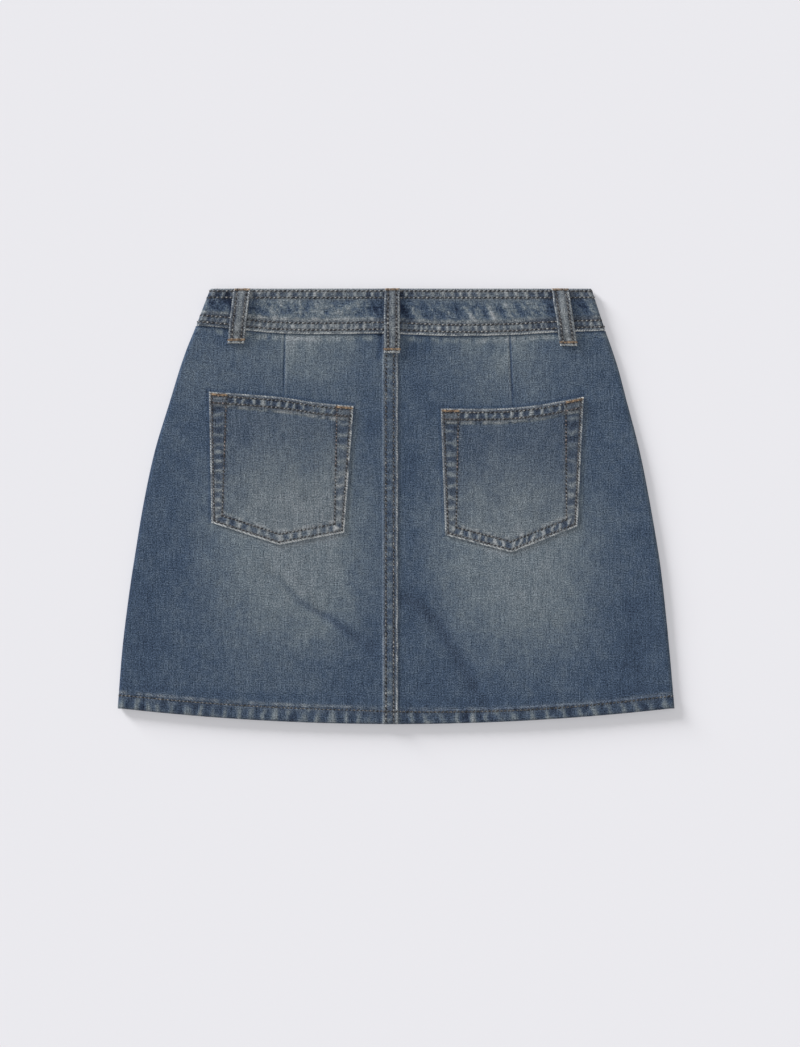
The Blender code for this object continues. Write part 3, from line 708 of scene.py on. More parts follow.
def cloth_shell(name, outer, inner, weave, paint, material, thin=4):
    """A closed wall of cloth from two grids of points in millimetres.

    weave holds each point's place on the flat cloth, across and along the warp, and paint its
    wash, wear and dullness, with painted light and shade in the wash and the dullness. The inner
    face is never looked at closely, so only every `thin`-th row and column of it is kept.
    """
    rows, columns = outer.shape[:2]
    keep_r = sorted(set(range(0, rows, thin)) | {rows - 1})
    keep_c = sorted(set(range(0, columns, thin)) | {columns - 1})
    top = np.arange(rows * columns).reshape(rows, columns)
    under = rows * columns + np.arange(len(keep_r) * len(keep_c)).reshape(len(keep_r), -1)
    picked = np.ix_(keep_r, keep_c)
    points = np.concatenate([outer.reshape(-1, 3), inner[picked].reshape(-1, 3)]) * MM
    faces = []
    for grid in (top, under):
        quads = [grid[:-1, :-1], grid[:-1, 1:], grid[1:, 1:], grid[1:, :-1]]
        faces += np.stack(quads, axis=-1).reshape(-1, 4).tolist()
    for r, side in ((0, 0), (rows - 1, -1)):
        for k in range(len(keep_c) - 1):
            run = top[r, keep_c[k] : keep_c[k + 1] + 1].tolist()
            faces.append(run + [int(under[side, k + 1]), int(under[side, k])])
    for c, side in ((0, 0), (columns - 1, -1)):
        for k in range(len(keep_r) - 1):
            run = top[keep_r[k] : keep_r[k + 1] + 1, c].tolist()
            faces.append(run + [int(under[k + 1, side]), int(under[k, side])])
    mesh = bpy.data.meshes.new(name)
    mesh.from_pydata(points.tolist(), [], faces)
    bm = bmesh.new()
    bm.from_mesh(mesh)
    bmesh.ops.recalc_face_normals(bm, faces=bm.faces)
    bm.to_mesh(mesh)
    bm.free()
    places = np.concatenate([weave.reshape(-1, 2), weave[picked].reshape(-1, 2)]) * MM
    corners = np.empty(len(mesh.loops), dtype=np.int32)
    mesh.loops.foreach_get("vertex_index", corners)
    layer = mesh.uv_layers.new(name="cloth")
    layer.uv.foreach_set("vector", places[corners].ravel().astype(np.float32))
    wrong_side = {"wash_and_shading": 0.45, "worn": 0.06, "dull_and_shade": 0.3}
    for label, face in paint.items():
        values = np.concatenate([face.ravel(), np.full(under.size, wrong_side[label])])
        mesh.attributes.new(label, "FLOAT", "POINT").data.foreach_set("value", values)
    mesh.shade_smooth()
    mesh.set_sharp_from_angle(angle=math.radians(50.0))
    return add_piece(name, mesh, material)


RAW_INDIGO = (33, 43, 62)
PALEST_WASH = (160, 163, 166)
BARE_WEFT = (186, 189, 190)
WARP_GAP = 0.38  # from one warp yarn to the next
WEFT_GAP = 0.56
DASH_ALONG = 2.2  # from one worn dash to the next, along the warp
DASH_ACROSS = 2.6


def denim_material(name):
    """Indigo warp over a pale weft: slubby along the warp, paler where washed, white where worn; the
    wash and dullness also carry painted light and shade.
    """
    material, tree, shader = new_material(name, 0.95, 0.08)
    weave = add_node(tree, "ShaderNodeUVMap", {"uv_map": "cloth"})
    place = add_node(tree, "ShaderNodeSeparateXYZ", None, Vector=weave.outputs[0])
    across, along = place.outputs[0], place.outputs[1]

    def times(socket, factor):
        return calculate(tree, "MULTIPLY", socket, factor)

    def total(start, *layers):
        """A socket or number with each (socket, share) of the layers added."""
        for layer, share in layers:
            start = calculate(tree, "ADD", times(layer, share), start)
        return start

    def yarns(across_mm, along_mm, detail):
        u = times(across, 1.0 / (across_mm * MM))
        v = times(along, 1.0 / (along_mm * MM))
        at = add_node(tree, "ShaderNodeCombineXYZ", None, X=u, Y=v)
        settings = {"noise_dimensions": "2D"}
        noise = add_node(
            tree, "ShaderNodeTexNoise", settings, Vector=at.outputs[0], Scale=1.0, Detail=detail
        )
        return calculate(tree, "SUBTRACT", noise.outputs[0], 0.5)

    slub = yarns(1.3, 18.0, 2.0)  # thick and thin places along a warp yarn
    pick = yarns(9.0, 1.2, 1.0)  # and along a weft yarn
    grain = yarns(1.15, 0.95, 2.0)
    mottle = yarns(5.0, 4.6, 2.0)
    cloud = yarns(17.0, 16.0, 2.0)

    # the twill itself: four warp yarns to a rib, with the weft's pale floats in the furrows
    ends = times(across, 2.0 * math.pi / (WARP_GAP * MM))
    picks = times(along, 2.0 * math.pi / (WEFT_GAP * MM))
    slanted = calculate(tree, "SUBTRACT", times(ends, 0.25), times(picks, 0.25))
    rib = calculate(tree, "SINE", slanted)
    yarn = calculate(tree, "COSINE", ends)
    float_edge = total(rib, (calculate(tree, "COSINE", picks), 0.45))
    weft = calculate(tree, "SUBTRACT", times(float_edge, -1.0), 0.55, clamp=True)

    wash_and_shading, worn, dull_and_shade = (
        add_node(tree, "ShaderNodeAttribute", {"attribute_name": label}).outputs["Fac"]
        for label in ("wash_and_shading", "worn", "dull_and_shade")
    )
    tone = total(wash_and_shading, (slub, 0.28), (pick, 0.20), (grain, 0.7), (mottle, 0.36), (cloud, 0.30))
    tone = times(calculate(tree, "ADD", tone, 0.8), 1.0 / 3.0)
    dye = add_node(tree, "ShaderNodeValToRGB", None, Fac=tone)
    stops = dye.color_ramp.elements
    for spot, colour in (
        (0.0, RAW_INDIGO),
        (0.27, (63, 77, 96)),
        (0.4, (81, 93, 107)),
        (0.53, (100, 110, 118)),
        (1.0, PALEST_WASH),
    ):
        stop = stops[0] if spot == 0.0 else stops[-1] if spot == 1.0 else stops.new(spot)
        stop.position = spot
        stop.color = (*swatch(*colour), 1.0)
    grey = add_node(tree, "ShaderNodeRGBToBW", None, Color=dye.outputs[0])
    dulled = two_tone(tree, dull_and_shade, dye.outputs[0], grey.outputs[0])
    strong_grain = calculate(tree, "MULTIPLY", grain, total(2.44, (wash_and_shading, -0.42)))
    bright = total(strong_grain, (slub, 0.58), (pick, 0.42), (rib, 0.05), (yarn, 0.04), (weft, 0.30))
    bright = calculate(tree, "MAXIMUM", calculate(tree, "ADD", bright, 0.985), 0.25)
    grained = add_node(
        tree, "ShaderNodeVectorMath", {"operation": "SCALE"}, _0=dulled, Scale=bright
    )

    # worn edges are rubbed through in short dashes, one to each rib that crosses the edge
    dash_v = times(along, 2.0 * math.pi / (DASH_ALONG * MM))
    dash_u = times(across, 2.0 * math.pi / (DASH_ACROSS * MM))
    dash = calculate(tree, "SINE", calculate(tree, "ADD", dash_u, dash_v))
    bare = calculate(tree, "MULTIPLY", worn, total(1.0, (grain, 3.0), (dash, 0.70)), clamp=True)
    cloth = two_tone(tree, bare, grained.outputs[0], swatch(*BARE_WEFT))
    tree.links.new(cloth, shader.inputs["Base Color"])

    relief = total(0.0, (rib, 0.35), (yarn, 0.25), (slub, 0.9), (pick, 0.5), (grain, 1.2))
    raise_relief(tree, shader, relief, 0.5, 0.18)
    return material


denim = denim_material("wash_and_shadinged_denim")


def back_panel(name, sign, dart):
    if sign < 0:
        strip_end = BACK_SEAM_X - FELL_WIDTH
        stops = [BACK_SEAM_X, BACK_SEAM_X - 1.2, strip_end, strip_end - 2.0]
        counts = [4, 20, 6]
    else:
        stops = [BACK_SEAM_X + GAP, BACK_SEAM_X + 6.0]
        counts = [6]
    lines = [lambda y, stop=stop: np.full(np.shape(y), stop) for stop in stops]
    lines += [
        lambda y: dart_x(dart, y) - sign * DART_REACH,
        lambda y: dart_x(dart, y) + sign * DART_REACH,
        lambda y: side_line(sign)(y) - sign * SIDE_ROLL,
    ]
    counts += [66, 14, 84]
    steps = [(d, 0.0) for d in (0.0, 0.4, 0.9, 1.6, 2.5)]
    steps += [(3.4 + 0.95 * i, 0.0) for i in range(7)]
    steps += [(9.8 + 0.5 * i, 0.0) for i in range(9)]
    steps += [(HEM_END, i / 235.0) for i in range(236)]
    x, y = lay_grid(lines, counts, steps, back_waist_seam)
    height, paint = back_face(x, y)
    rows = np.array(steps)
    thickness = np.where(rows[:, 0] < HEM_END, HEM_WALL, CLOTH)[:, None] + 0.0 * x
    on_strip = (x < BACK_SEAM_X) & (x > BACK_SEAM_X - FELL_WIDTH)
    thickness = np.where(on_strip, thickness + FELL_RISE, thickness)
    faces = (height, height - thickness)
    depths = (0.0, thickness[:, -1:])
    top = height[:, -1:]
    turns = np.linspace(0.0, math.pi / 2.0, 9)[None, 1:]

    def upper_half(z):
        return np.maximum(z, top / 2.0 + GAP / 2.0)

    outer, inner, weave = roll_side(x, y, faces, depths, top, turns, sign, upper_half, paint)
    # painted light on the right side's fold and painted shade on the lit left one
    paint["wash_and_shading"][:, -turns.size :] += sign * SIDE_PAINTED_LIGHT * ease(SIDE_ROLL * turns / SIDE_PAINTED_LIGHT_RUN)
    return cloth_shell(name, outer, inner, weave, paint, denim)


for name, sign, dart, cut in (
    ("back_panel_left", -1, DART_LEFT, (0.260, 0.372, 0.0840)),
    ("back_panel_right", 1, DART_RIGHT, (0.252, 0.372, 0.0810)),
):
    piece = back_panel(name, sign, dart)
    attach(piece, "root")
    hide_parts("back_left" if sign < 0 else "back_right")

# ---------------------------------------------------------------- front panels
# The two front panels lie flat on the table under the back. They meet down the middle, under the
# fly at the top and in a plain seam below it.

FRONT_SEAM_HEM_X = 4.6
FRONT_SEAM_WAIST_X = 13.0
FRONT_DIP = 11.0
FRONT_SEAM_DROP = 4.0  # more than the top edge's dip, which keeps the band as deep at its middle
FRONT_UNFADED = 0.30
FRONT_FADES = (
    Fade(-110.0, -20.0, 70.0, 95.0, 0.6),
    Fade(125.0, -20.0, 70.0, 95.0, 0.6),
)
FRONT_CUT_FROM = 800.0  # where the front lies on the flat cloth, so that its weave is its own


def front_seam(y):
    share = (y - HEM_LOWEST) / (WAIST_TOP - HEM_LOWEST)
    return mix(FRONT_SEAM_HEM_X, FRONT_SEAM_WAIST_X, share)


def front_dip(x):
    middle = FRONT_SEAM_WAIST_X
    edge = np.where(x > middle, right_side(WAIST_TOP), left_side(WAIST_TOP))
    share = np.minimum(np.abs((x - middle) / (edge - middle)), 1.0)
    return FRONT_DIP * (1.0 - share**2)


def front_waist_seam(x):
    first, last = BACK_WAIST_SEAM[0], BACK_WAIST_SEAM[-1]
    right = np.asarray(x) > FRONT_SEAM_WAIST_X
    edge_x = np.where(right, last[0], first[0])
    edge_y = np.where(right, last[1], first[1])
    share = np.minimum(np.abs((x - FRONT_SEAM_WAIST_X) / (edge_x - FRONT_SEAM_WAIST_X)), 1.0)
    middle = (first[1] + last[1]) / 2.0 - FRONT_DIP - FRONT_SEAM_DROP
    return mix(middle, edge_y, share**2)


def front_panel(name, sign):
    lines = [
        lambda y: front_seam(y) + sign * GAP / 2.0,
        lambda y: side_line(sign)(y) - sign * SIDE_ROLL,
    ]
    steps = [(d, 0.0) for d in (0.0, 0.7, 2.0, 4.5, 7.0, 9.5, 10.5, 11.0, 11.6, 12.5)]
    steps += [(HEM_END, i / 90.0) for i in range(91)]
    x, y = lay_grid(lines, [76], steps, front_waist_seam, EDGE_ROUNDING)
    rows = np.array(steps)
    thickness = np.where(rows[:, 0] < HEM_END, HEM_WALL, CLOTH)[:, None] + 0.0 * x
    rounding = EDGE_ROUNDING * (rows[:, 0] < 0.5)[:, None] + 0.0 * x
    groove = 0.30 * bell(y - hem_line(x) - EDGE_ROUNDING - HEM_DEPTH, 0.8)
    wash_and_shading = FRONT_UNFADED + 0.10 * unevenness(x, y, 30.0, 41)
    for fade in FRONT_FADES:
        spread = ((x - fade.x) / fade.width) ** 2 + ((y - fade.y) / fade.length) ** 2
        wash_and_shading += fade.strength * np.exp(-spread)
    up = y - hem_line(x) - EDGE_ROUNDING
    rope = ladder(x - 0.1 * up, HEM_ROPE_PITCH, 43) * between(up, -2.0, HEM_DEPTH)
    wash_and_shading += 0.35 * rope * (up < HEM_DEPTH)
    worn = 0.25 * np.clip(rope, 0.0, 1.0) * (up < HEM_DEPTH)
    dull_and_shade = 0.30 * (up < HEM_DEPTH)
    paint = {"wash_and_shading": wash_and_shading, "worn": worn, "dull_and_shade": dull_and_shade}
    faces = (rounding + groove, thickness)
    depths = (0.0, thickness[:, -1:])
    top = (back_height(x, y) + HEM_RISE * (rows[:, :1] < HEM_DEPTH + 1.0))[:, -1:]
    turns = np.linspace(0.0, math.pi / 2.0, 7)[None, 1:]

    def lower_half(z):
        return np.minimum(top - z, top / 2.0 - GAP / 2.0)

    outer, inner, weave = roll_side(x, y, faces, depths, top, turns, sign, lower_half, paint)
    weave[..., 0] += FRONT_CUT_FROM
    return cloth_shell(name, outer, inner, weave, paint, denim, thin=3)


for name, sign, cut in (
    ("front_panel_left", -1, (0.268, 0.360, 0.0830)),
    ("front_panel_right", 1, (0.252, 0.360, 0.0780)),
):
    piece = front_panel(name, sign)
    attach(piece, "root")
    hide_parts("front_left" if sign < 0 else "front_right")

# ---------------------------------------------------------------- waistband
# One long strip, folded double over the raw edges of the panels and sewn down with two rows along
# each edge. Washing has shrunk the threads, so the band puckers between the rows.

BAND_WALL = 2.2
BAND_PROUD = 1.2
BAND_DEPTH = 39.0
BAND_CUT_FROM = 1200.0
BAND_LOW_ROWS = (3.5, 9.6)  # from the lower edge
BAND_TOP_ROWS = (2.2, 8.1)  # from the top edge
BAND_LOW_SHADE = 0.28  # how much darker the cloth is along the lower rows, and then the top ones: partly dirt, partly painted shade in the rows' grooves
BAND_TOP_SHADE = -0.10
# How faded the band's back is along its length, least beside the belt loops
band_tone = smooth_line(
    [
        (-175.0, 0.30),
        (-156.0, 0.12),
        (-131.0, 0.32),
        (-121.0, 0.50),
        (-97.0, 0.52),
        (-58.0, 0.50),
        (-32.0, 0.34),
        (0.0, -0.02),
        (22.0, 0.18),
        (45.0, 0.42),
        (67.0, 0.58),
        (100.0, 0.63),
        (120.0, 0.40),
        (136.0, 0.05),
        (160.0, 0.02),
        (176.0, 0.34),
    ]
)
# Crumples of the band's back: from and to, along it and up from its lower edge, pale ones and dark
Crumple = namedtuple("Crumple", "x0 y0 x1 y1 width shade")
CRUMPLES = (
    Crumple(-166.0, 15.0, -148.0, 25.0, 5.0, -0.40),
    Crumple(-169.0, 9.0, -156.0, 21.0, 2.2, 0.34),
    Crumple(-124.0, 20.0, -113.0, 14.5, 3.6, -0.50),
    Crumple(-112.0, 20.0, -97.0, 28.0, 3.0, 0.30),
    Crumple(-104.0, 14.0, -92.0, 17.0, 3.0, 0.28),
    Crumple(-94.0, 19.0, -89.0, 25.0, 3.0, -0.36),
    Crumple(-91.0, 30.0, -82.0, 20.0, 4.0, 0.36),
    Crumple(-80.0, 24.0, -78.0, 13.0, 2.4, -0.34),
    Crumple(-66.0, 24.0, -56.0, 20.0, 4.0, 0.18),
    Crumple(-66.0, 13.0, -58.0, 22.0, 2.4, -0.22),
    Crumple(-53.0, 17.0, -28.0, 30.0, 2.6, 0.42),
    Crumple(-50.0, 27.0, -40.0, 31.0, 3.0, -0.36),
    Crumple(-34.0, 16.0, -17.0, 21.0, 4.4, -0.42),
    Crumple(-26.0, 13.0, -18.0, 15.0, 3.0, -0.20),
    Crumple(4.0, 29.0, 12.0, 12.0, 4.0, -0.40),
    Crumple(12.5, 24.0, 18.5, 17.0, 1.8, 0.60),
    Crumple(24.0, 29.0, 28.0, 14.0, 2.8, -0.52),
    Crumple(31.0, 27.0, 44.0, 20.0, 4.0, 0.20),
    Crumple(37.0, 13.0, 43.0, 20.0, 3.0, -0.42),
    Crumple(50.0, 30.0, 58.0, 14.0, 3.4, -0.54),
    Crumple(61.0, 24.0, 69.0, 13.0, 1.4, 0.66),
    Crumple(73.0, 27.0, 80.0, 14.0, 3.2, -0.52),
    Crumple(80.0, 27.0, 86.0, 14.0, 1.6, 0.68),
    Crumple(90.0, 24.0, 94.0, 13.0, 3.0, -0.42),
    Crumple(95.0, 28.0, 102.0, 13.0, 1.5, 0.55),
    Crumple(108.0, 22.0, 112.0, 14.0, 2.6, -0.28),
    Crumple(117.0, 29.0, 130.0, 22.0, 5.0, 0.44),
    Crumple(117.0, 12.0, 128.0, 13.0, 4.0, 0.40),
    Crumple(132.0, 24.0, 137.0, 14.0, 3.4, -0.26),
    Crumple(158.0, 27.0, 166.0, 19.0, 4.0, -0.34),
    Crumple(166.0, 25.0, 173.0, 16.0, 2.0, 0.24),
)
# The band's mottling, from its broadest patches to its finest
Mottle = namedtuple("Mottle", "strength size lean stretch seed")
BAND_MOTTLE = (
    Mottle(0.32, 7.0, 0.5, 1.0, 55),
    Mottle(0.46, 4.0, 0.4, 1.0, 56),
    Mottle(0.55, 2.1, 0.0, 1.0, 59),
    Mottle(0.58, 2.2, 0.5, 3.0, 63),
    Mottle(0.80, 1.2, 0.0, 1.0, 64),
)
BUTTON_RADIUS = 8.5
BUTTON_CAP = 1.8
BUTTON_CLEARANCE = 2.5
BUTTON_FADE = 8.0


def button_place():
    x = front_seam(WAIST_TOP) - BUTTON_RADIUS - 1.0
    return x, (front_waist_seam(x) + WAIST_TOP - front_dip(x)) / 2.0


def button_lift(x, y):
    middle_x, middle_y = button_place()
    away = np.hypot(x - middle_x, y - middle_y) - BUTTON_RADIUS - BUTTON_CLEARANCE
    return (BUTTON_CAP + GAP) * (1.0 - ease(away / BUTTON_FADE))


BAND_NEAR_Y = 170.0  # a first guess at where the band's points lie
BAND_ROWS = 58
BAND_FRONT_TONE = 0.36
BAND_STRETCHES = (  # each with its side, and how many columns of points it has
    ("front", 1, 130),
    ("turn", 1, 22),
    ("back", 0, 400),
    ("turn", -1, 22),
    ("front", -1, 150),
)


def band_grid(rows):
    """Points round the band, from the fly round the right side, the back and the left side."""
    quarter = math.pi / 2.0
    up = np.linspace(0.0, 1.0, rows)[:, None]
    parts = []
    for place, sign, columns in BAND_STRETCHES:
        share = np.linspace(0.0, 1.0, columns)[None, :]
        if place == "front" and sign < 0:
            share = 1.0 - share
        angle = (share * 2.0 - 1.0) * quarter * (1.0 if sign > 0 else -1.0)
        y = np.full((rows, columns), BAND_NEAR_Y)
        for _ in range(SETTLING):
            if place == "back":
                x = mix(right_side(y) - SIDE_ROLL, left_side(y) + SIDE_ROLL, share)
                low, high = back_waist_seam(x), WAIST_TOP
            elif place == "turn":
                x = side_line(sign)(y) - sign * SIDE_ROLL + 0.0 * share
                low, high = back_waist_seam(x), WAIST_TOP
            else:
                start = front_seam(y) + sign * GAP / 2.0
                x = mix(start, side_line(sign)(y) - sign * SIDE_ROLL, share)
                low, high = front_waist_seam(x), WAIST_TOP - front_dip(x)
            y = mix(low, high, up)
        top = back_height(x, y) + BAND_PROUD
        parts.append((place, sign, x, y, top, angle + 0.0 * y, low + 0.0 * y, high + 0.0 * y))
    return parts


def band_face(place, x, y, along, from_low, from_top):
    """Relief, wash and wear of the band's outer face, with painted shade in the wash along the rows.
    """
    # puckers: short bars between the double rows, and crumples in the open cloth
    low_bars = 0.7 * ladder(along + 0.1 * from_low, 5.4, 51) + 0.5 * ladder(along, 8.1, 54)
    low_bars *= between(from_low, *BAND_LOW_ROWS)
    top_bars = ladder(along + 0.1 * from_top, 8.5, 53) * between(from_top, *BAND_TOP_ROWS)
    open_cloth = between(from_low, BAND_LOW_ROWS[1] + 0.5, BAND_DEPTH - BAND_TOP_ROWS[1] + 1.0)
    mottle = 0.0
    for layer in BAND_MOTTLE:
        across = from_low / layer.stretch
        patch = unevenness(along - layer.lean * from_low, across, layer.size, layer.seed)
        mottle = mottle + layer.strength * patch
    tone = BAND_FRONT_TONE
    crumple = 0.5 * mottle
    if place == "back":
        tone = band_tone(x) - 0.30 * beside_loops(x, y)
        for fold in CRUMPLES:
            crumple = crumple + 1.05 * fold.shade * crease_bell(fold, x, from_low)
    near_rows = bell(from_low - 6.5, 7.5) + bell(from_top - 4.3, 5.0)
    pinched = rumple(along, from_low, 61) * near_rows
    relief = 0.16 * low_bars + 0.20 * top_bars + 0.34 * crumple * open_cloth + 0.05 * pinched
    wash_and_shading = tone + 0.08 * unevenness(along, from_low, 34.0, 57)
    wash_and_shading += 0.64 * low_bars + 0.60 * top_bars + 1.1 * crumple * open_cloth
    wash_and_shading += 0.38 * pinched
    wash_and_shading += mix(0.36, 0.17, ease(x / 80.0)) * bell(from_low - 6.5, 5.0)
    wash_and_shading += 0.04 * bell(from_top - 4.0, 3.0)
    beads = np.clip(0.75 + 0.9 * unevenness(along, 0.5 * from_low, 1.8, 60), 0.0, 2.0)
    wash_and_shading += mix(0.66, 0.26, ease(x / 80.0)) * beads * bell(from_low - 12.9, 1.5)
    worn = 0.10 * np.clip(low_bars, 0.0, 1.0) + 0.10 * np.clip(top_bars, 0.0, 1.0)
    fray = 0.95 + 1.15 * unevenness(along, 0.0, 3.6, 58)
    fray *= mix(0.5, 1.0, ease((x + 150.0) / 20.0))
    wander = 0.45 * unevenness(along, 0.0, 3.6, 62)
    worn += 1.0 * bell(from_low - 0.45 - wander, 0.66) * fray + 0.36 * bell(from_top - 0.1, 0.9)
    dull_and_shade = 0.06 + 0.18 * bell(from_low - 6.5, 4.5) + 0.16 * bell(from_top - 4.5, 4.0)
    dull_and_shade += 0.24 * bell(from_low - 12.3, 1.5)
    # along each row the cloth is darker and greyer: partly dirt, partly painted shade in its groove
    for distance, row_set, shade in (
        (from_low, BAND_LOW_ROWS, BAND_LOW_SHADE),
        (from_top, BAND_TOP_ROWS, BAND_TOP_SHADE),
    ):
        dull_and_shade += 0.12 * bell(distance - 2.2, 1.8)
        for row in row_set:
            relief -= 0.30 * bell(distance - row, 0.8)
            wash_and_shading -= shade * bell(distance - row, 1.2)
            dull_and_shade += 0.24 * bell(distance - row, 2.0)
    return relief, {"wash_and_shading": wash_and_shading, "worn": worn, "dull_and_shade": np.clip(dull_and_shade, 0.0, 0.8)}


def waistband():
    outer, inner, weave = [], [], []
    paints = {"wash_and_shading": [], "worn": [], "dull_and_shade": []}
    run = 0.0
    for place, sign, x, y, top, angle, low, high in band_grid(BAND_ROWS):
        middle = top / 2.0
        if place == "turn":
            path_x = x + sign * SIDE_ROLL * np.cos(angle)
            path_z = middle + middle * np.sin(angle)
        elif place == "back":
            path_x, path_z = x, top
        else:
            path_x, path_z = x, button_lift(x, y)
        middle_row = BAND_ROWS // 2
        hops = np.hypot(np.diff(path_x[middle_row]), np.diff(path_z[middle_row]))
        along = run + np.concatenate([[0.0], np.cumsum(hops)])[None, :] + 0.0 * y
        run = along[0, -1]
        from_low = y - low
        from_top = high - y
        relief, paint = band_face(place, x, y, along, from_low, from_top)
        edge_round = EDGE_ROUNDING * (bell(from_low, 0.9) + bell(from_top, 0.9))
        depth = edge_round - relief
        if place == "front":
            out_point = (x, y, np.maximum(depth, 0.0) + button_lift(x, y))
            in_point = (x, y, BAND_WALL - edge_round + button_lift(x, y))
        elif place == "back":
            out_point = (x, y, top - depth)
            in_point = (x, y, top - BAND_WALL + edge_round)
        else:
            depth = mix(np.maximum(depth, 0.0), depth, np.maximum(np.sin(angle), 0.0))
            points = []
            for inset in (depth, BAND_WALL - edge_round):
                reach = (SIDE_ROLL - inset) * np.cos(angle)
                points.append((x + sign * reach, y, middle + (middle - inset) * np.sin(angle)))
            out_point, in_point = points
        cut = slice(1 if outer else 0, None)  # the first column is the last stretch's own
        outer.append(np.stack(out_point, axis=-1)[:, cut])
        inner.append(np.stack(in_point, axis=-1)[:, cut])
        weave.append(np.stack([from_low + BAND_CUT_FROM, along], axis=-1)[:, cut])
        for label, face in paint.items():
            paints[label].append(face[:, cut])
    outer, inner, weave = (np.concatenate(part, axis=1) for part in (outer, inner, weave))
    paint = {label: np.concatenate(parts, axis=1) for label, parts in paints.items()}
    return cloth_shell("waistband_cloth", outer, inner, weave, paint, denim), outer


band, band_points = waistband()
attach(band, "root")
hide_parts("waistband")

# ---------------------------------------------------------------- patch pockets
# Two pointed patches, each with its top edge turned in and sewn with two rows. Two more rows hold
# it to the panel, the outer close to the edge, and bar tacks lock the mouth's two corners.

POCKET_HEM = 11.5
POCKET_HEM_RISE = 0.6
POCKET_EASE = 0.5
POCKET_OUTER_ROW = 2.4
POCKET_INNER_ROW_TOP = 15.3
POCKET_INNER_ROW_LOW = 9.2
POCKET_BOTTOM_ROW = 8.9
POCKET_HEM_ROWS = (3.2, 9.3)
POCKET_BACK_GAP = 0.10
POCKET_CUT_FROM = 2000.0


def inner_row_inset(shape, y):
    """The inner row stands off the side less and less towards the bottom."""
    share = (y - shape.bottom[0][1]) / (shape.top[0][1] - shape.bottom[0][1])
    return mix(POCKET_INNER_ROW_LOW, POCKET_INNER_ROW_TOP, np.clip(share, 0.0, 1.0))


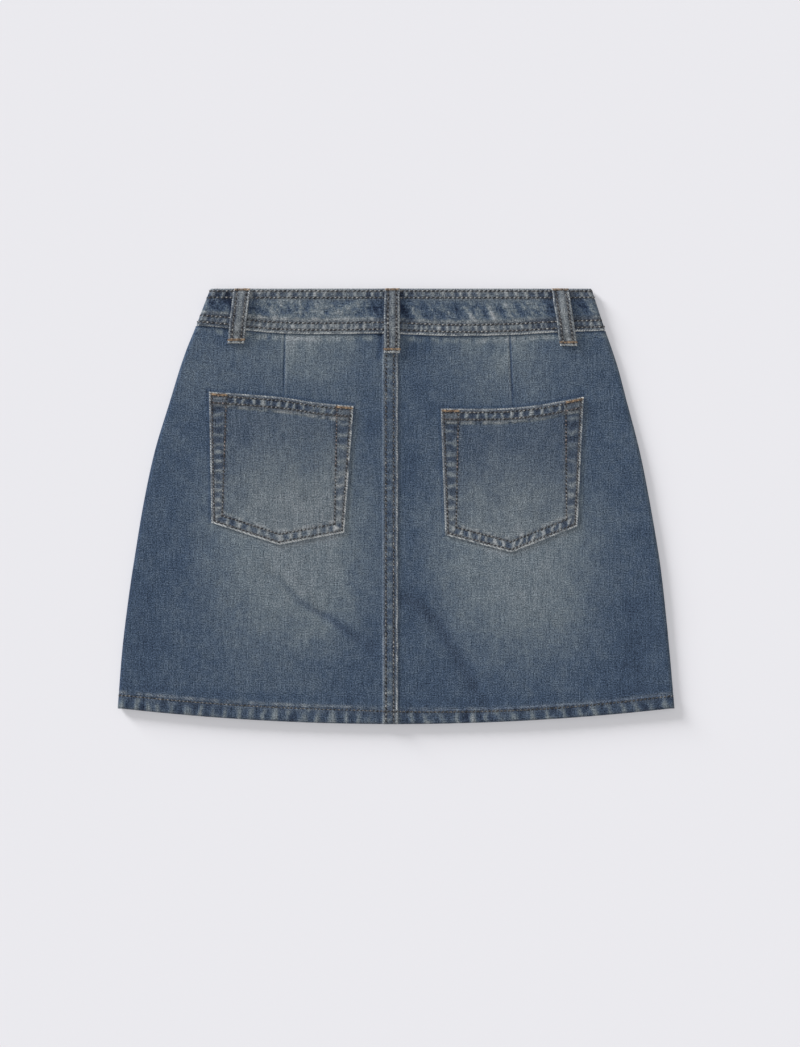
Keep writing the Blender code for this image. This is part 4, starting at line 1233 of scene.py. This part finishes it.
def pocket_face(shape, x, y):
    """Height, wash and wear of a pocket's outer face, with painted shade in the wash along its creases
    and rows.
    """
    seed = shape.seed
    left, right, bottom, top = (edge(x, y) for edge in pocket_edges(shape))
    inset = inner_row_inset(shape, y)
    width = shape.top[-1][0] - shape.top[0][0]
    across = np.clip(left / width, 0.0, 1.0)
    puff = POCKET_EASE * np.sin(math.pi * across) * between(bottom, 0.0, 118.0)
    height = back_height(x, y) + drape(x, y) * 0.7 + GAP + CLOTH + puff
    height += POCKET_HEM_RISE * (1.0 - ease((top - POCKET_HEM) / (STEP_RUN + 1.5)))
    lit_edge = np.minimum(left, top)
    far_edge = np.minimum(right - 0.5, bottom)
    height -= (EDGE_ROUNDING + 0.2) * bell(lit_edge, 1.0)
    height -= 0.7 * EDGE_ROUNDING * bell(far_edge, 0.8)
    wash_and_shading = fade_and_crease_shade(x, y)
    fray = 0.90 + 1.05 * unevenness(x, y, 3.6, seed)
    worn = shape.wear * fray * (0.5 * bell(lit_edge - 0.25, 0.60) + bell(far_edge - 0.6, 0.75))
    sides_in = np.minimum(left, right)
    dull_and_shade = 0.12 + 0.28 * bell(lit_edge, 2.6) + 0.06 * bell(far_edge, 2.0)
    dull_and_shade += 0.12 * between(sides_in, POCKET_OUTER_ROW, inset)
    in_sides = ease((sides_in - POCKET_OUTER_ROW) / 3.0)
    in_length = ease((bottom - POCKET_OUTER_ROW) / 3.0) * ease((top - POCKET_HEM) / 2.5)
    in_mouth = ease((sides_in - inset + 0.5) / 2.5)
    bars = np.zeros_like(wash_and_shading)
    for number, (puckers, along, from_edge, last_row, inside) in enumerate(
        (
            (shape.left_side, y, left, inset, in_length),
            (shape.right_side, y, right, inset, in_length),
            (shape.low_edge, x, bottom, POCKET_BOTTOM_ROW, in_sides),
            (shape.mouth, x + 0.1 * top, top, POCKET_HEM_ROWS[1], in_mouth),
        )
    ):
        strip = between(from_edge, POCKET_OUTER_ROW, last_row) * inside
        wavy = along + 1.7 * unevenness(x, y, 4.6, seed + 15 + number)
        bars += puckers.strength * ladder(wavy, puckers.pitch, seed + 1 + 2 * number) * strip
    height += 0.21 * bars
    wash_and_shading += bars + shape.tone * between(sides_in, 1.5, inset)
    wash_and_shading += 0.8 * np.abs(shape.tone) * between(top, 0.5, POCKET_HEM + 2.0)
    wash_and_shading += 0.20 * between(top, POCKET_OUTER_ROW, POCKET_HEM_ROWS[1]) * (1.0 - in_mouth)
    wash_and_shading -= 0.14 * between(bottom, POCKET_OUTER_ROW, POCKET_BOTTOM_ROW)
    rows = []
    for side in (left, right):
        rows.append((side - POCKET_OUTER_ROW, bottom > POCKET_OUTER_ROW - 1.0, 0.16))
        rows.append((side - inset, bottom > POCKET_BOTTOM_ROW - 1.0, 0.16))
    rows.append((bottom - POCKET_OUTER_ROW, sides_in > POCKET_OUTER_ROW - 1.0, 0.16))
    rows.append((bottom - POCKET_BOTTOM_ROW, sides_in > inset - 1.0, 0.16))
    for row in POCKET_HEM_ROWS:
        rows.append((top - row, sides_in > 1.0, 0.02))
    pinched = rumple(x, y, seed + 9)
    beside = np.zeros_like(wash_and_shading)
    # along each row the cloth is darker and greyer: partly dirt, partly painted shade in its groove
    for away, here, shade in rows:
        height -= 0.26 * bell(away, 0.75) * here
        wash_and_shading -= shade * bell(away, 1.3) * here
        dull_and_shade += 0.24 * bell(away, 2.4) * here
        beside = np.maximum(beside, bell(away, 3.0) * here)
    wash_and_shading += 0.36 * pinched * beside
    dull_and_shade += 0.30 * bell(top - POCKET_HEM_ROWS[1] - 0.9, 1.3) * in_sides
    wash_and_shading += (shape.ridge + 0.8 * pinched) * bell(top - POCKET_HEM - 1.05, 1.15) * in_sides
    wash_and_shading += (0.12 + 0.30 * pinched) * bell(bottom - POCKET_BOTTOM_ROW - 2.4, 1.5) * in_sides
    return height, {"wash_and_shading": wash_and_shading, "worn": worn, "dull_and_shade": np.clip(dull_and_shade, 0.0, 0.75)}


def patch_pocket(name, shape):
    top_line = smooth_line(shape.top)
    points = np.array(shape.bottom)
    share = np.linspace(0.0, 1.0, 172)
    share = share - 0.010 * np.sin(2.0 * math.pi * share)  # closer columns at both sides
    up = np.linspace(0.0, 1.0, 178)[:, None]
    low_x = mix(points[0, 0], points[2, 0], share)
    low_y = np.interp(low_x, points[:, 0], points[:, 1])
    high_x = mix(shape.top[0][0], shape.top[-1][0], share)
    high_y = top_line(high_x)
    x = mix(low_x[None, :], high_x[None, :], up)
    y = mix(low_y[None, :], high_y[None, :], up)
    height, paint = pocket_face(shape, x, y)
    outer = np.stack([x, y, height], axis=-1)
    inner = np.stack([x, y, back_height(x, y) + POCKET_BACK_GAP], axis=-1)
    weave = np.stack([x + POCKET_CUT_FROM, y], axis=-1)
    return cloth_shell(name, outer, inner, weave, paint, denim)


for name, shape, node in (
    ("patch_pocket_left", POCKET_LEFT, "pocket_left"),
    ("patch_pocket_right", POCKET_RIGHT, "pocket_right"),
):
    piece = patch_pocket(name, shape)
    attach(piece, "root")
    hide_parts(node)

# ---------------------------------------------------------------- belt loops
# Three short straps, folded so that their edges wear pale, sewn with two rows along their length
# and bar tacked at the top of the waistband and just below it.

LOOP_WALL = 1.9
LOOP_ARCH = 1.6
LOOP_TOP_INSET = 0.2
LOOP_ROW_INSET = 3.3
LOOP_ROUNDING = 1.1
LOOP_TACK_RISE = 3.3  # of the lower bar tack above the strap's end
LOOP_CUT_FROM = 2000.0


def loop_under(loop, x, y, middle):
    seam_y = back_waist_seam(middle)
    on_band = BAND_PROUD if loop.on_seam else BAND_PROUD * ease((y - seam_y + 6.0) / 5.0)
    arch_share = np.clip((WAIST_TOP - y) / (WAIST_TOP - loop.bottom_y - 8.0), 0.0, 1.0)
    return back_height(x, y) + on_band + GAP + LOOP_ARCH * np.sin(math.pi * arch_share)


def loop_face(loop, across, y):
    """Place, height, wash and wear of a loop's outer face, with painted shade in the wash along the
    rows; across runs from -0.5 to 0.5.
    """
    seed = loop.seed
    share = (WAIST_TOP - y) / (WAIST_TOP - loop.bottom_y)
    middle = mix(loop.top_x, loop.bottom_x, share)
    side = np.where(across > 0.0, 9.0, -9.0)
    x = middle + across * (loop.width + 0.8 * unevenness(y, side, 7.0, seed + 3))
    from_edge = (0.5 - np.abs(across)) * loop.width
    from_end = np.minimum(y - loop.bottom_y, WAIST_TOP - LOOP_TOP_INSET - y)
    nearest = np.minimum(np.minimum(from_edge, from_end + 0.2) / LOOP_ROUNDING, 1.0)
    wall = LOOP_WALL * (0.22 + 0.78 * np.sqrt(1.0 - (1.0 - nearest) ** 2))
    bars = ladder(y + 4.0 * np.sign(across), 4.2, seed) * between(from_edge, 0.4, LOOP_ROW_INSET + 1.2)
    pinched = rumple(x, y, seed + 4)
    tacked = bell(y - loop.bottom_y - LOOP_TACK_RISE, 1.5)
    height = loop_under(loop, x, y, middle) + wall + 0.10 * bars + 0.06 * pinched
    height -= 0.28 * bell(from_edge - LOOP_ROW_INSET, 0.7) + 0.45 * tacked
    height += 0.24 * bell(across, 0.20)
    wash_and_shading = (0.34 if loop.on_seam else 0.44) + 0.34 * (share - 0.45)
    wash_and_shading = wash_and_shading + 0.20 * unevenness(x, y, 6.0, seed + 1) + 0.24 * bars + 0.38 * pinched
    wash_and_shading += 0.42 * bell(across, 0.13) + 0.40 * across
    # darker along the rows and at the lower tack: partly dirt, partly painted shade in their grooves
    wash_and_shading -= 0.22 * bell(from_edge - LOOP_ROW_INSET, 1.4) + 0.3 * tacked
    fray = 0.80 + 0.70 * unevenness(y, across, 3.0, seed + 2)
    inwards = 0.0 if loop.on_seam else -np.sign(loop.top_x) * across
    rubbed = 0.40 + 0.28 * across + 0.24 * np.clip(inwards, 0.0, 1.0)
    worn = rubbed * bell(from_edge - 0.7 - 0.6 * across, 0.70) * fray
    worn += 0.6 * bell(from_end - 0.5, 0.9) * (0.8 + 0.5 * unevenness(x, y, 3.0, seed + 5))
    worn += 0.06 * bell(across, 0.14)
    dull_and_shade = 0.34 + 0.34 * bell(from_edge - LOOP_ROW_INSET, 2.0)
    return x, height, {"wash_and_shading": wash_and_shading, "worn": worn, "dull_and_shade": dull_and_shade}


for loop in BELT_LOOPS:
    across = 0.5 * np.sin(np.linspace(-0.5, 0.5, 41) * math.pi)[None, :]
    y = np.linspace(loop.bottom_y, WAIST_TOP - LOOP_TOP_INSET, 124)[:, None] + 0.0 * across
    x, height, paint = loop_face(loop, across + 0.0 * y, y)
    share = (WAIST_TOP - y) / (WAIST_TOP - loop.bottom_y)
    middle = mix(loop.top_x, loop.bottom_x, share)
    outer = np.stack([x, y, height], axis=-1)
    inner = np.stack([x, y, loop_under(loop, x, y, middle)], axis=-1)
    weave = np.stack([x + (LOOP_CUT_FROM + 10.0 * loop.seed), y], axis=-1)
    piece = cloth_shell(loop.name, outer, inner, weave, paint, denim, thin=3)
    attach(piece, "root")
    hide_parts(loop.node)

# ---------------------------------------------------------------- stitching
# Heavy washed thread, sunk a little into the cloth. The dark stitches of a row slant like the
# strands of a rope, with the paler turns of the thread between them: partly worn thread, partly
# painted highlight.

SEAM_PITCH = 3.7
HEM_PITCH = 3.4
BAND_PITCH = 3.8
POCKET_PITCH = 3.2
MOUTH_PITCH = 3.55
LOOP_PITCH = 3.6
THREAD_WIDTH = 1.5
TURN_WIDTH = 1.25
TURN_LENGTH = 0.58  # of the pitch
ROPE_SLANT = 0.52
TURN_SLANT = -0.6  # of the rope's own slant, the other way
SLANT_SPREAD = 0.14
THINNEST = (0.68, 0.62, 0.70)  # shares of a stitch's length, width and height
FATTEST = (1.14, 1.22, 1.12)


def stitch_tree():
    """Lays one stitch at every pitch along each edge path of a mesh."""
    tree = bpy.data.node_groups.new("row_of_stitches", "GeometryNodeTree")
    for label, kind in (
        ("Paths", "Geometry"),
        ("Pitch", "Float"),
        ("Stitch length", "Float"),
        ("Thread width", "Float"),
        ("Slant", "Float"),
        ("Seed", "Int"),
        ("Thread", "Material"),
    ):
        tree.interface.new_socket(label, in_out="INPUT", socket_type="NodeSocket" + kind)
    tree.interface.new_socket("Stitches", in_out="OUTPUT", socket_type="NodeSocketGeometry")
    given = tree.nodes.new("NodeGroupInput").outputs
    finished = tree.nodes.new("NodeGroupOutput").inputs

    def step(kind, settings=None, **inputs):
        """The first output of a new node."""
        return add_node(tree, kind, settings, **inputs).outputs[0]

    # one stitch: a long bead, as wide as the thread
    width = given["Thread width"]
    size = step("ShaderNodeCombineXYZ", X=given["Stitch length"], Y=width, Z=width)
    bead = step("GeometryNodeMeshUVSphere", Segments=6, Rings=5, Radius=0.5)
    bead = step("GeometryNodeTransform", Geometry=bead, Rotation=(0, math.pi / 2, 0))
    bead = step("GeometryNodeTransform", Geometry=bead, Scale=size)
    bead = step("GeometryNodeSetShadeSmooth", Geometry=bead)

    # its places along the paths, each turned to lie along its path and on the cloth
    curve = step("GeometryNodeMeshToCurve", Mesh=given["Paths"])
    by_length = {"mode": "LENGTH"}
    spots = add_node(
        tree, "GeometryNodeCurveToPoints", by_length, Curve=curve, Length=given["Pitch"]
    )
    up = step("GeometryNodeInputNamedAttribute", {"data_type": "FLOAT_VECTOR"}, Name="up")
    turn = step("FunctionNodeAlignRotationToVector", {"axis": "Z", "pivot_axis": "AUTO"}, Vector=up)
    turn = step(
        "FunctionNodeAlignRotationToVector",
        {"axis": "X", "pivot_axis": "Z"},
        Rotation=turn,
        Vector=spots.outputs["Tangent"],
    )

    # the slant of a rope's strands, and a little of a hand's or a machine's unevenness
    spread = add_node(
        tree,
        "FunctionNodeRandomValue",
        {"data_type": "FLOAT"},
        _2=-SLANT_SPREAD,
        _3=SLANT_SPREAD,
        Seed=given["Seed"],
    )
    slant = step("ShaderNodeCombineXYZ", Z=calculate(tree, "ADD", spread.outputs[1], given["Slant"]))
    slant = step("FunctionNodeEulerToRotation", Euler=slant)
    in_place = {"rotation_space": "LOCAL"}
    turn = step("FunctionNodeRotateRotation", in_place, Rotation=turn, Rotate_By=slant)
    fatness = step(
        "FunctionNodeRandomValue",
        {"data_type": "FLOAT_VECTOR"},
        _0=THINNEST,
        _1=FATTEST,
        Seed=given["Seed"],
    )
    row = step(
        "GeometryNodeInstanceOnPoints",
        Points=spots.outputs[0],
        Instance=bead,
        Rotation=turn,
        Scale=fatness,
    )
    row = step("GeometryNodeRealizeInstances", Geometry=row)
    row = step("GeometryNodeSetMaterial", Geometry=row, Material=given["Thread"])
    tree.links.new(row, finished[0])
    return tree


row_of_stitches = stitch_tree()


def lay_thread(name, paths, thread, pitch, length, width, slant, seed):
    """Stitches along paths, as one plain mesh. A path has a (place, way up) for each of its points."""
    points = []
    ups = []
    edges = []
    for path in paths:
        first = len(points)
        points += [tuple(value * MM for value in place) for place, _ in path]
        ups += [value for _, up in path for value in up]
        edges += [(first + i, first + i + 1) for i in range(len(path) - 1)]
    mesh = bpy.data.meshes.new(name + "_paths")
    mesh.from_pydata(points, edges, [])
    mesh.attributes.new("up", "FLOAT_VECTOR", "POINT").data.foreach_set("vector", ups)
    guide = add_piece(name + "_paths", mesh, thread)
    laid = guide.modifiers.new("stitches", "NODES")
    laid.node_group = row_of_stitches
    values = {
        "Pitch": pitch * MM,
        "Stitch length": length * MM,
        "Thread width": width * MM,
        "Slant": slant,
        "Seed": seed,
        "Thread": thread,
    }
    for item in row_of_stitches.interface.items_tree:
        if item.item_type == "SOCKET" and item.name in values:
            laid[item.identifier] = values[item.name]
    finished = bpy.data.meshes.new_from_object(
        guide.evaluated_get(bpy.context.evaluated_depsgraph_get())
    )
    guide.modifiers.clear()
    bpy.data.objects.remove(guide)
    finished.name = name
    piece = bpy.data.objects.new(name, finished)
    bpy.context.scene.collection.objects.link(piece)
    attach(piece, "root")
    return piece


def started_later(path, step):
    """The same path, started a little further along."""
    gone = 0.0
    for i in range(len(path) - 1):
        (place, up), (next_place, _) = path[i], path[i + 1]
        hop = math.dist(place, next_place)
        if gone + hop >= step:
            share = (step - gone) / hop
            start = tuple(mix(a, b, share) for a, b in zip(place, next_place))
            return [(start, up)] + path[i + 1 :]
        gone += hop
    return path


def sew(name, paths, pale, pitch, seed):
    """A rope-like row: dark slanting stitches, and the paler turns of the thread between them, partly
    worn thread and partly painted highlight.
    """
    lay_thread(name, paths, dark_thread, pitch, pitch - 0.1, THREAD_WIDTH, ROPE_SLANT, seed)
    later = [started_later(path, pitch / 2.0) for path in paths]
    length = TURN_LENGTH * pitch
    slant = TURN_SLANT * ROPE_SLANT
    lay_thread(name + "_turns_and_highlights", later, pale, pitch, length, TURN_WIDTH, slant, seed + 1)


def noise_on(tree, scale, detail):
    """Noise that is fixed to the piece itself."""
    place = add_node(tree, "ShaderNodeTexCoord").outputs["Object"]
    noise = add_node(tree, "ShaderNodeTexNoise", None, Vector=place, Scale=scale, Detail=detail)
    return noise.outputs[0]


def thread_material(name, dark, light, share):
    """Twisted thread whose dye has washed out unevenly from stitch to stitch."""
    material, tree, shader = new_material(name, 0.8, 0.25)
    patch = noise_on(tree, 420.0, 1.0)
    fibre = noise_on(tree, 2600.0, 2.0)
    tone = calculate(tree, "MULTIPLY", calculate(tree, "SUBTRACT", patch, 0.5), 3.2)
    tone = calculate(tree, "ADD", tone, share)
    rough = calculate(tree, "SUBTRACT", fibre, 0.5)
    tone = calculate(tree, "ADD", tone, rough, clamp=True)
    dye = two_tone(tree, tone, swatch(*dark), swatch(*light))
    tree.links.new(dye, shader.inputs["Base Color"])
    raise_relief(tree, shader, fibre, 0.6, 0.1)
    return material


dark_thread = thread_material("dark_thread", (34, 36, 40), (78, 77, 78), 0.35)
# the paler threads make the turns between stitches: partly worn thread, partly painted highlight
pale_thread_and_highlight = thread_material("pale_thread_and_highlight", (94, 94, 97), (156, 155, 153), 0.48)
grey_thread_and_highlight = thread_material("grey_thread_and_highlight", (72, 74, 77), (150, 149, 148), 0.46)
brown_thread_and_highlight = thread_material("brown_thread_and_highlight", (72, 73, 76), (148, 147, 146), 0.46)
rust_thread_and_highlight = thread_material("rust_thread_and_highlight", (80, 73, 73), (150, 136, 132), 0.46)
gold_thread = thread_material("gold_thread", (88, 72, 60), (170, 144, 116), 0.50)


def path_of(xs, ys, height, lift=0.02):
    """A path over cloth that faces up."""
    up = (0.0, 0.0, 1.0)
    return [((float(x), float(y), float(z) + lift), up) for x, y, z in zip(xs, ys, height)]


UNDER_LIFT = 0.42  # of the thread's middle above the table, on the side that lies on it
THREAD_SINK = 0.15
TURN_INSET = 0.12  # of a path's ends from the top and the bottom of the roll, in radians
TURN_POINTS = 9
STEP = 1.0  # from one point of a path to the next
ROW_SLACK = 0.3
MOUTH_STOP = 1.5  # the side rows end this far below the mouth's edge
SEAM_ROW_END = 2.8  # above the lowest hem, so that the seam's stitches end inside it
CORNER_STEPS = 15  # of a mouth's row, at each end, whose thread has kept more of its rust


def round_the_side(sign, y, top):
    """A path round the roll at the side, from the back to the front."""
    x = side_line(sign)(y) - sign * SIDE_ROLL
    path = []
    for turn in np.linspace(TURN_INSET, math.pi - TURN_INSET, TURN_POINTS):
        outwards = sign * math.sin(turn)
        height = max(top / 2.0 * (1.0 + math.cos(turn)), UNDER_LIFT)
        place = (x + (SIDE_ROLL - THREAD_SINK) * outwards, y, height)
        path.append((place, (outwards, 0.0, math.cos(turn))))
    return path


# Panels: the felled seam's two rows, from hem to waistband, and the hem's row all the way round
seam_paths = []
for row in SEAM_ROWS:
    y = np.arange(HEM_LOWEST + SEAM_ROW_END, back_waist_seam(0.0) - 0.5, STEP)
    x = np.full_like(y, BACK_SEAM_X - row)
    seam_paths.append(path_of(x, y, back_face(x, y)[0]))
x = np.arange(-240.0, 240.5, STEP)
y = hem_line(x) + hem_row(x)
on_back = (x > left_side(y) + SIDE_ROLL + 0.5) & (x < right_side(y) - SIDE_ROLL - 0.5)
x, y = x[on_back], y[on_back]
hem_path = path_of(x, y, back_face(x, y)[0])
left_y, right_y = float(y[0]), float(y[-1])
hem_top = SIDE_HEIGHT + HEM_RISE - 0.3
hem_path = list(reversed(round_the_side(-1, left_y, hem_top))) + hem_path
hem_path += round_the_side(1, right_y, hem_top)
hem_paths = [hem_path]
x = np.arange(left_side(left_y) + SIDE_ROLL, right_side(right_y) - SIDE_ROLL, 2.0 * STEP)
y = hem_line(x) + EDGE_ROUNDING + HEM_DEPTH
hem_paths.append([((float(a), float(b), UNDER_LIFT), (0.0, 0.0, -1.0)) for a, b in zip(x, y)])
sew("back_seam_stitches", seam_paths, grey_thread_and_highlight, SEAM_PITCH, 1)
sew("hem_stitches", hem_paths, grey_thread_and_highlight, HEM_PITCH, 3)

# Waistband: two rows along each edge, all the way round
band_rows = []
rows, columns = band_points.shape[:2]
heights = np.linalg.norm(band_points[-1] - band_points[0], axis=-1)
column = np.arange(columns)
for row_set, from_top in ((BAND_LOW_ROWS, False), (BAND_TOP_ROWS, True)):
    for row in row_set:
        share = 1.0 - row / heights if from_top else row / heights
        at = share * (rows - 1)
        below = np.floor(at).astype(int)
        line = mix(band_points[below, column], band_points[below + 1, column], (at - below)[:, None])
        ways = np.gradient(line, axis=0)
        ups = np.cross(ways, (0.0, 1.0, 0.0))
        ups /= np.linalg.norm(ups, axis=-1, keepdims=True)
        ups *= np.where(ups[:, 2:] * (line[:, 2:] - 2.6) < 0.0, -1.0, 1.0)
        line[:, 2] = np.maximum(line[:, 2], UNDER_LIFT)
        band_rows.append([(tuple(place), tuple(up)) for place, up in zip(line.tolist(), ups.tolist())])
sew("waistband_stitches", band_rows, pale_thread_and_highlight, BAND_PITCH, 5)

# Pockets: two rows down each side and along the bottom, and two across the mouth
for name, shape in (
    ("pocket_left_stitches", POCKET_LEFT),
    ("pocket_right_stitches", POCKET_RIGHT),
):
    top_line = smooth_line(shape.top)
    (left_x, left_y), (point_x, point_y), (right_x, right_y) = shape.bottom
    paths = []
    corner_paths = []
    for outer_row in (True, False):
        rise = POCKET_OUTER_ROW if outer_row else POCKET_BOTTOM_ROW
        sides = []
        for sign, (low_x, low_y), (high_x, high_y) in (
            (1, shape.bottom[0], shape.top[0]),
            (-1, shape.bottom[2], shape.top[-1]),
        ):
            steps = np.arange(low_y - 4.0, high_y, STEP)
            inset = POCKET_OUTER_ROW if outer_row else inner_row_inset(shape, steps)
            line = mix(low_x, high_x, (steps - low_y) / (high_y - low_y)) + sign * inset
            sides.append((line, steps))
        steps = np.arange(left_x, right_x, STEP)
        slopes = (point_y - left_y) / (point_x - left_x), (right_y - point_y) / (right_x - point_x)
        rise_1 = left_y + slopes[0] * (steps - left_x) + rise * math.hypot(1.0, slopes[0])
        rise_2 = point_y + slopes[1] * (steps - point_x) + rise * math.hypot(1.0, slopes[1])
        sides.append((steps, np.maximum(rise_1, rise_2)))
        left, right, bottom, top = pocket_edges(shape)
        for xs, ys in sides:
            inset = POCKET_OUTER_ROW if outer_row else inner_row_inset(shape, ys)
            inside = (left(xs, ys) >= inset - ROW_SLACK) & (right(xs, ys) >= inset - ROW_SLACK)
            inside &= (bottom(xs, ys) >= rise - ROW_SLACK) & (top(xs, ys) >= MOUTH_STOP)
            xs, ys = xs[inside], ys[inside]
            path = path_of(xs, ys, pocket_face(shape, xs, ys)[0])
            if outer_row or ys[-1] < shape.top[0][1] - 50.0:
                paths.append(path)
            else:
                paths.append(path[: len(path) // 2])
                corner_paths.append(path[len(path) // 2 :])
    mouth_paths = []
    for row in POCKET_HEM_ROWS:
        xs = np.arange(shape.top[0][0] + 2.5, shape.top[-1][0] - 2.0, STEP)
        ys = top_line(xs) - row
        path = path_of(xs, ys, pocket_face(shape, xs, ys)[0])
        corner_paths += [path[:CORNER_STEPS], path[-CORNER_STEPS:]]
        mouth_paths.append(path[CORNER_STEPS - 1 : 1 - CORNER_STEPS])
    sew(name, paths, brown_thread_and_highlight, POCKET_PITCH, shape.seed)
    sew(name + "_corners", corner_paths, rust_thread_and_highlight, POCKET_PITCH, shape.seed + 2)
    sew(name + "_mouth", mouth_paths, brown_thread_and_highlight, MOUTH_PITCH, shape.seed + 4)

# Belt loops: a row along each side
loop_paths = []
for loop in BELT_LOOPS:
    y = np.arange(loop.bottom_y + 2.5, WAIST_TOP - 1.0, STEP)
    for side in (-1.0, 1.0):
        across = side * (0.5 - LOOP_ROW_INSET / loop.width) + 0.0 * y
        x, height, _ = loop_face(loop, across, y)
        loop_paths.append(path_of(x, y, height))
sew("belt_loop_stitches", loop_paths, pale_thread_and_highlight, LOOP_PITCH, 9)

# ---------------------------------------------------------------- bar tacks
# Close zigzag stitches in tan thread, over a millimetre or two. They lock both ends of each belt
# loop and the two corners of each pocket's mouth, where the cloth is pulled hardest.

TACK_PITCH = 1.1
TACK_LENGTH = 2.1
TACK_WIDTH = 0.85
TACK_SLANT = 0.20
TACK_LIFT = 0.25

tacks = []
for loop in BELT_LOOPS:
    for y, inset in ((loop.bottom_y + LOOP_TACK_RISE, 0.3), (WAIST_TOP - 0.9, 1.2)):
        for row in (-0.5, 0.5):
            across = np.linspace(-0.5 + inset / loop.width, 0.5 - inset / loop.width, 20)
            x, height, _ = loop_face(loop, across, y + row + 0.0 * across)
            tacks.append(path_of(x, y + row + 0.0 * x, height, TACK_LIFT))
for shape in (POCKET_LEFT, POCKET_RIGHT):
    top_line = smooth_line(shape.top)
    for start, end in (
        (shape.top[0][0] + 1.8, shape.top[0][0] + 15.5),
        (shape.top[-1][0] - 15.0, shape.top[-1][0] - 1.4),
    ):
        for row in (1.5, 2.4):
            xs = np.linspace(start, end, 20)
            ys = top_line(xs) - row
            tacks.append(path_of(xs, ys, pocket_face(shape, xs, ys)[0], TACK_LIFT))
lay_thread("bar_tacks", tacks, gold_thread, TACK_PITCH, TACK_LENGTH, TACK_WIDTH, TACK_SLANT, 13)

# ---------------------------------------------------------------- zip, slider and button
# Hidden under the back: a closed zip of dark tape inside the fly, its brass slider, and the brass
# button of the waistband, flat against the table.


def metal_material(name):
    material, tree, shader = new_material(name, 0.42)
    scuff = noise_on(tree, 700.0, 4.0)
    metal = two_tone(tree, scuff, (0.26, 0.15, 0.07), (0.50, 0.33, 0.17))
    tree.links.new(metal, shader.inputs["Base Color"])
    raise_relief(tree, shader, scuff, 0.3, 0.1)
    shader.inputs["Metallic"].default_value = 1.0
    return material


def tape_material(name):
    material, tree, shader = new_material(name, 0.85)
    place = add_node(tree, "ShaderNodeTexCoord").outputs["Object"]
    rib = add_node(
        tree,
        "ShaderNodeTexWave",
        {"wave_type": "BANDS", "bands_direction": "Y"},
        Vector=place,
        Scale=600.0,
        Distortion=1.0,
    )
    tint = two_tone(tree, rib.outputs[1], (0.02, 0.026, 0.045), (0.05, 0.06, 0.09))
    tree.links.new(tint, shader.inputs["Base Color"])
    raise_relief(tree, shader, rib.outputs[1], 0.5, 0.1)
    return material


aged_brass = metal_material("aged_brass")
zip_tape = tape_material("zip_tape")
for node, finish in (("zip", zip_tape), ("zip_slider", aged_brass), ("button", aged_brass)):
    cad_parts[node].data.materials.clear()
    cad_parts[node].data.materials.append(finish)
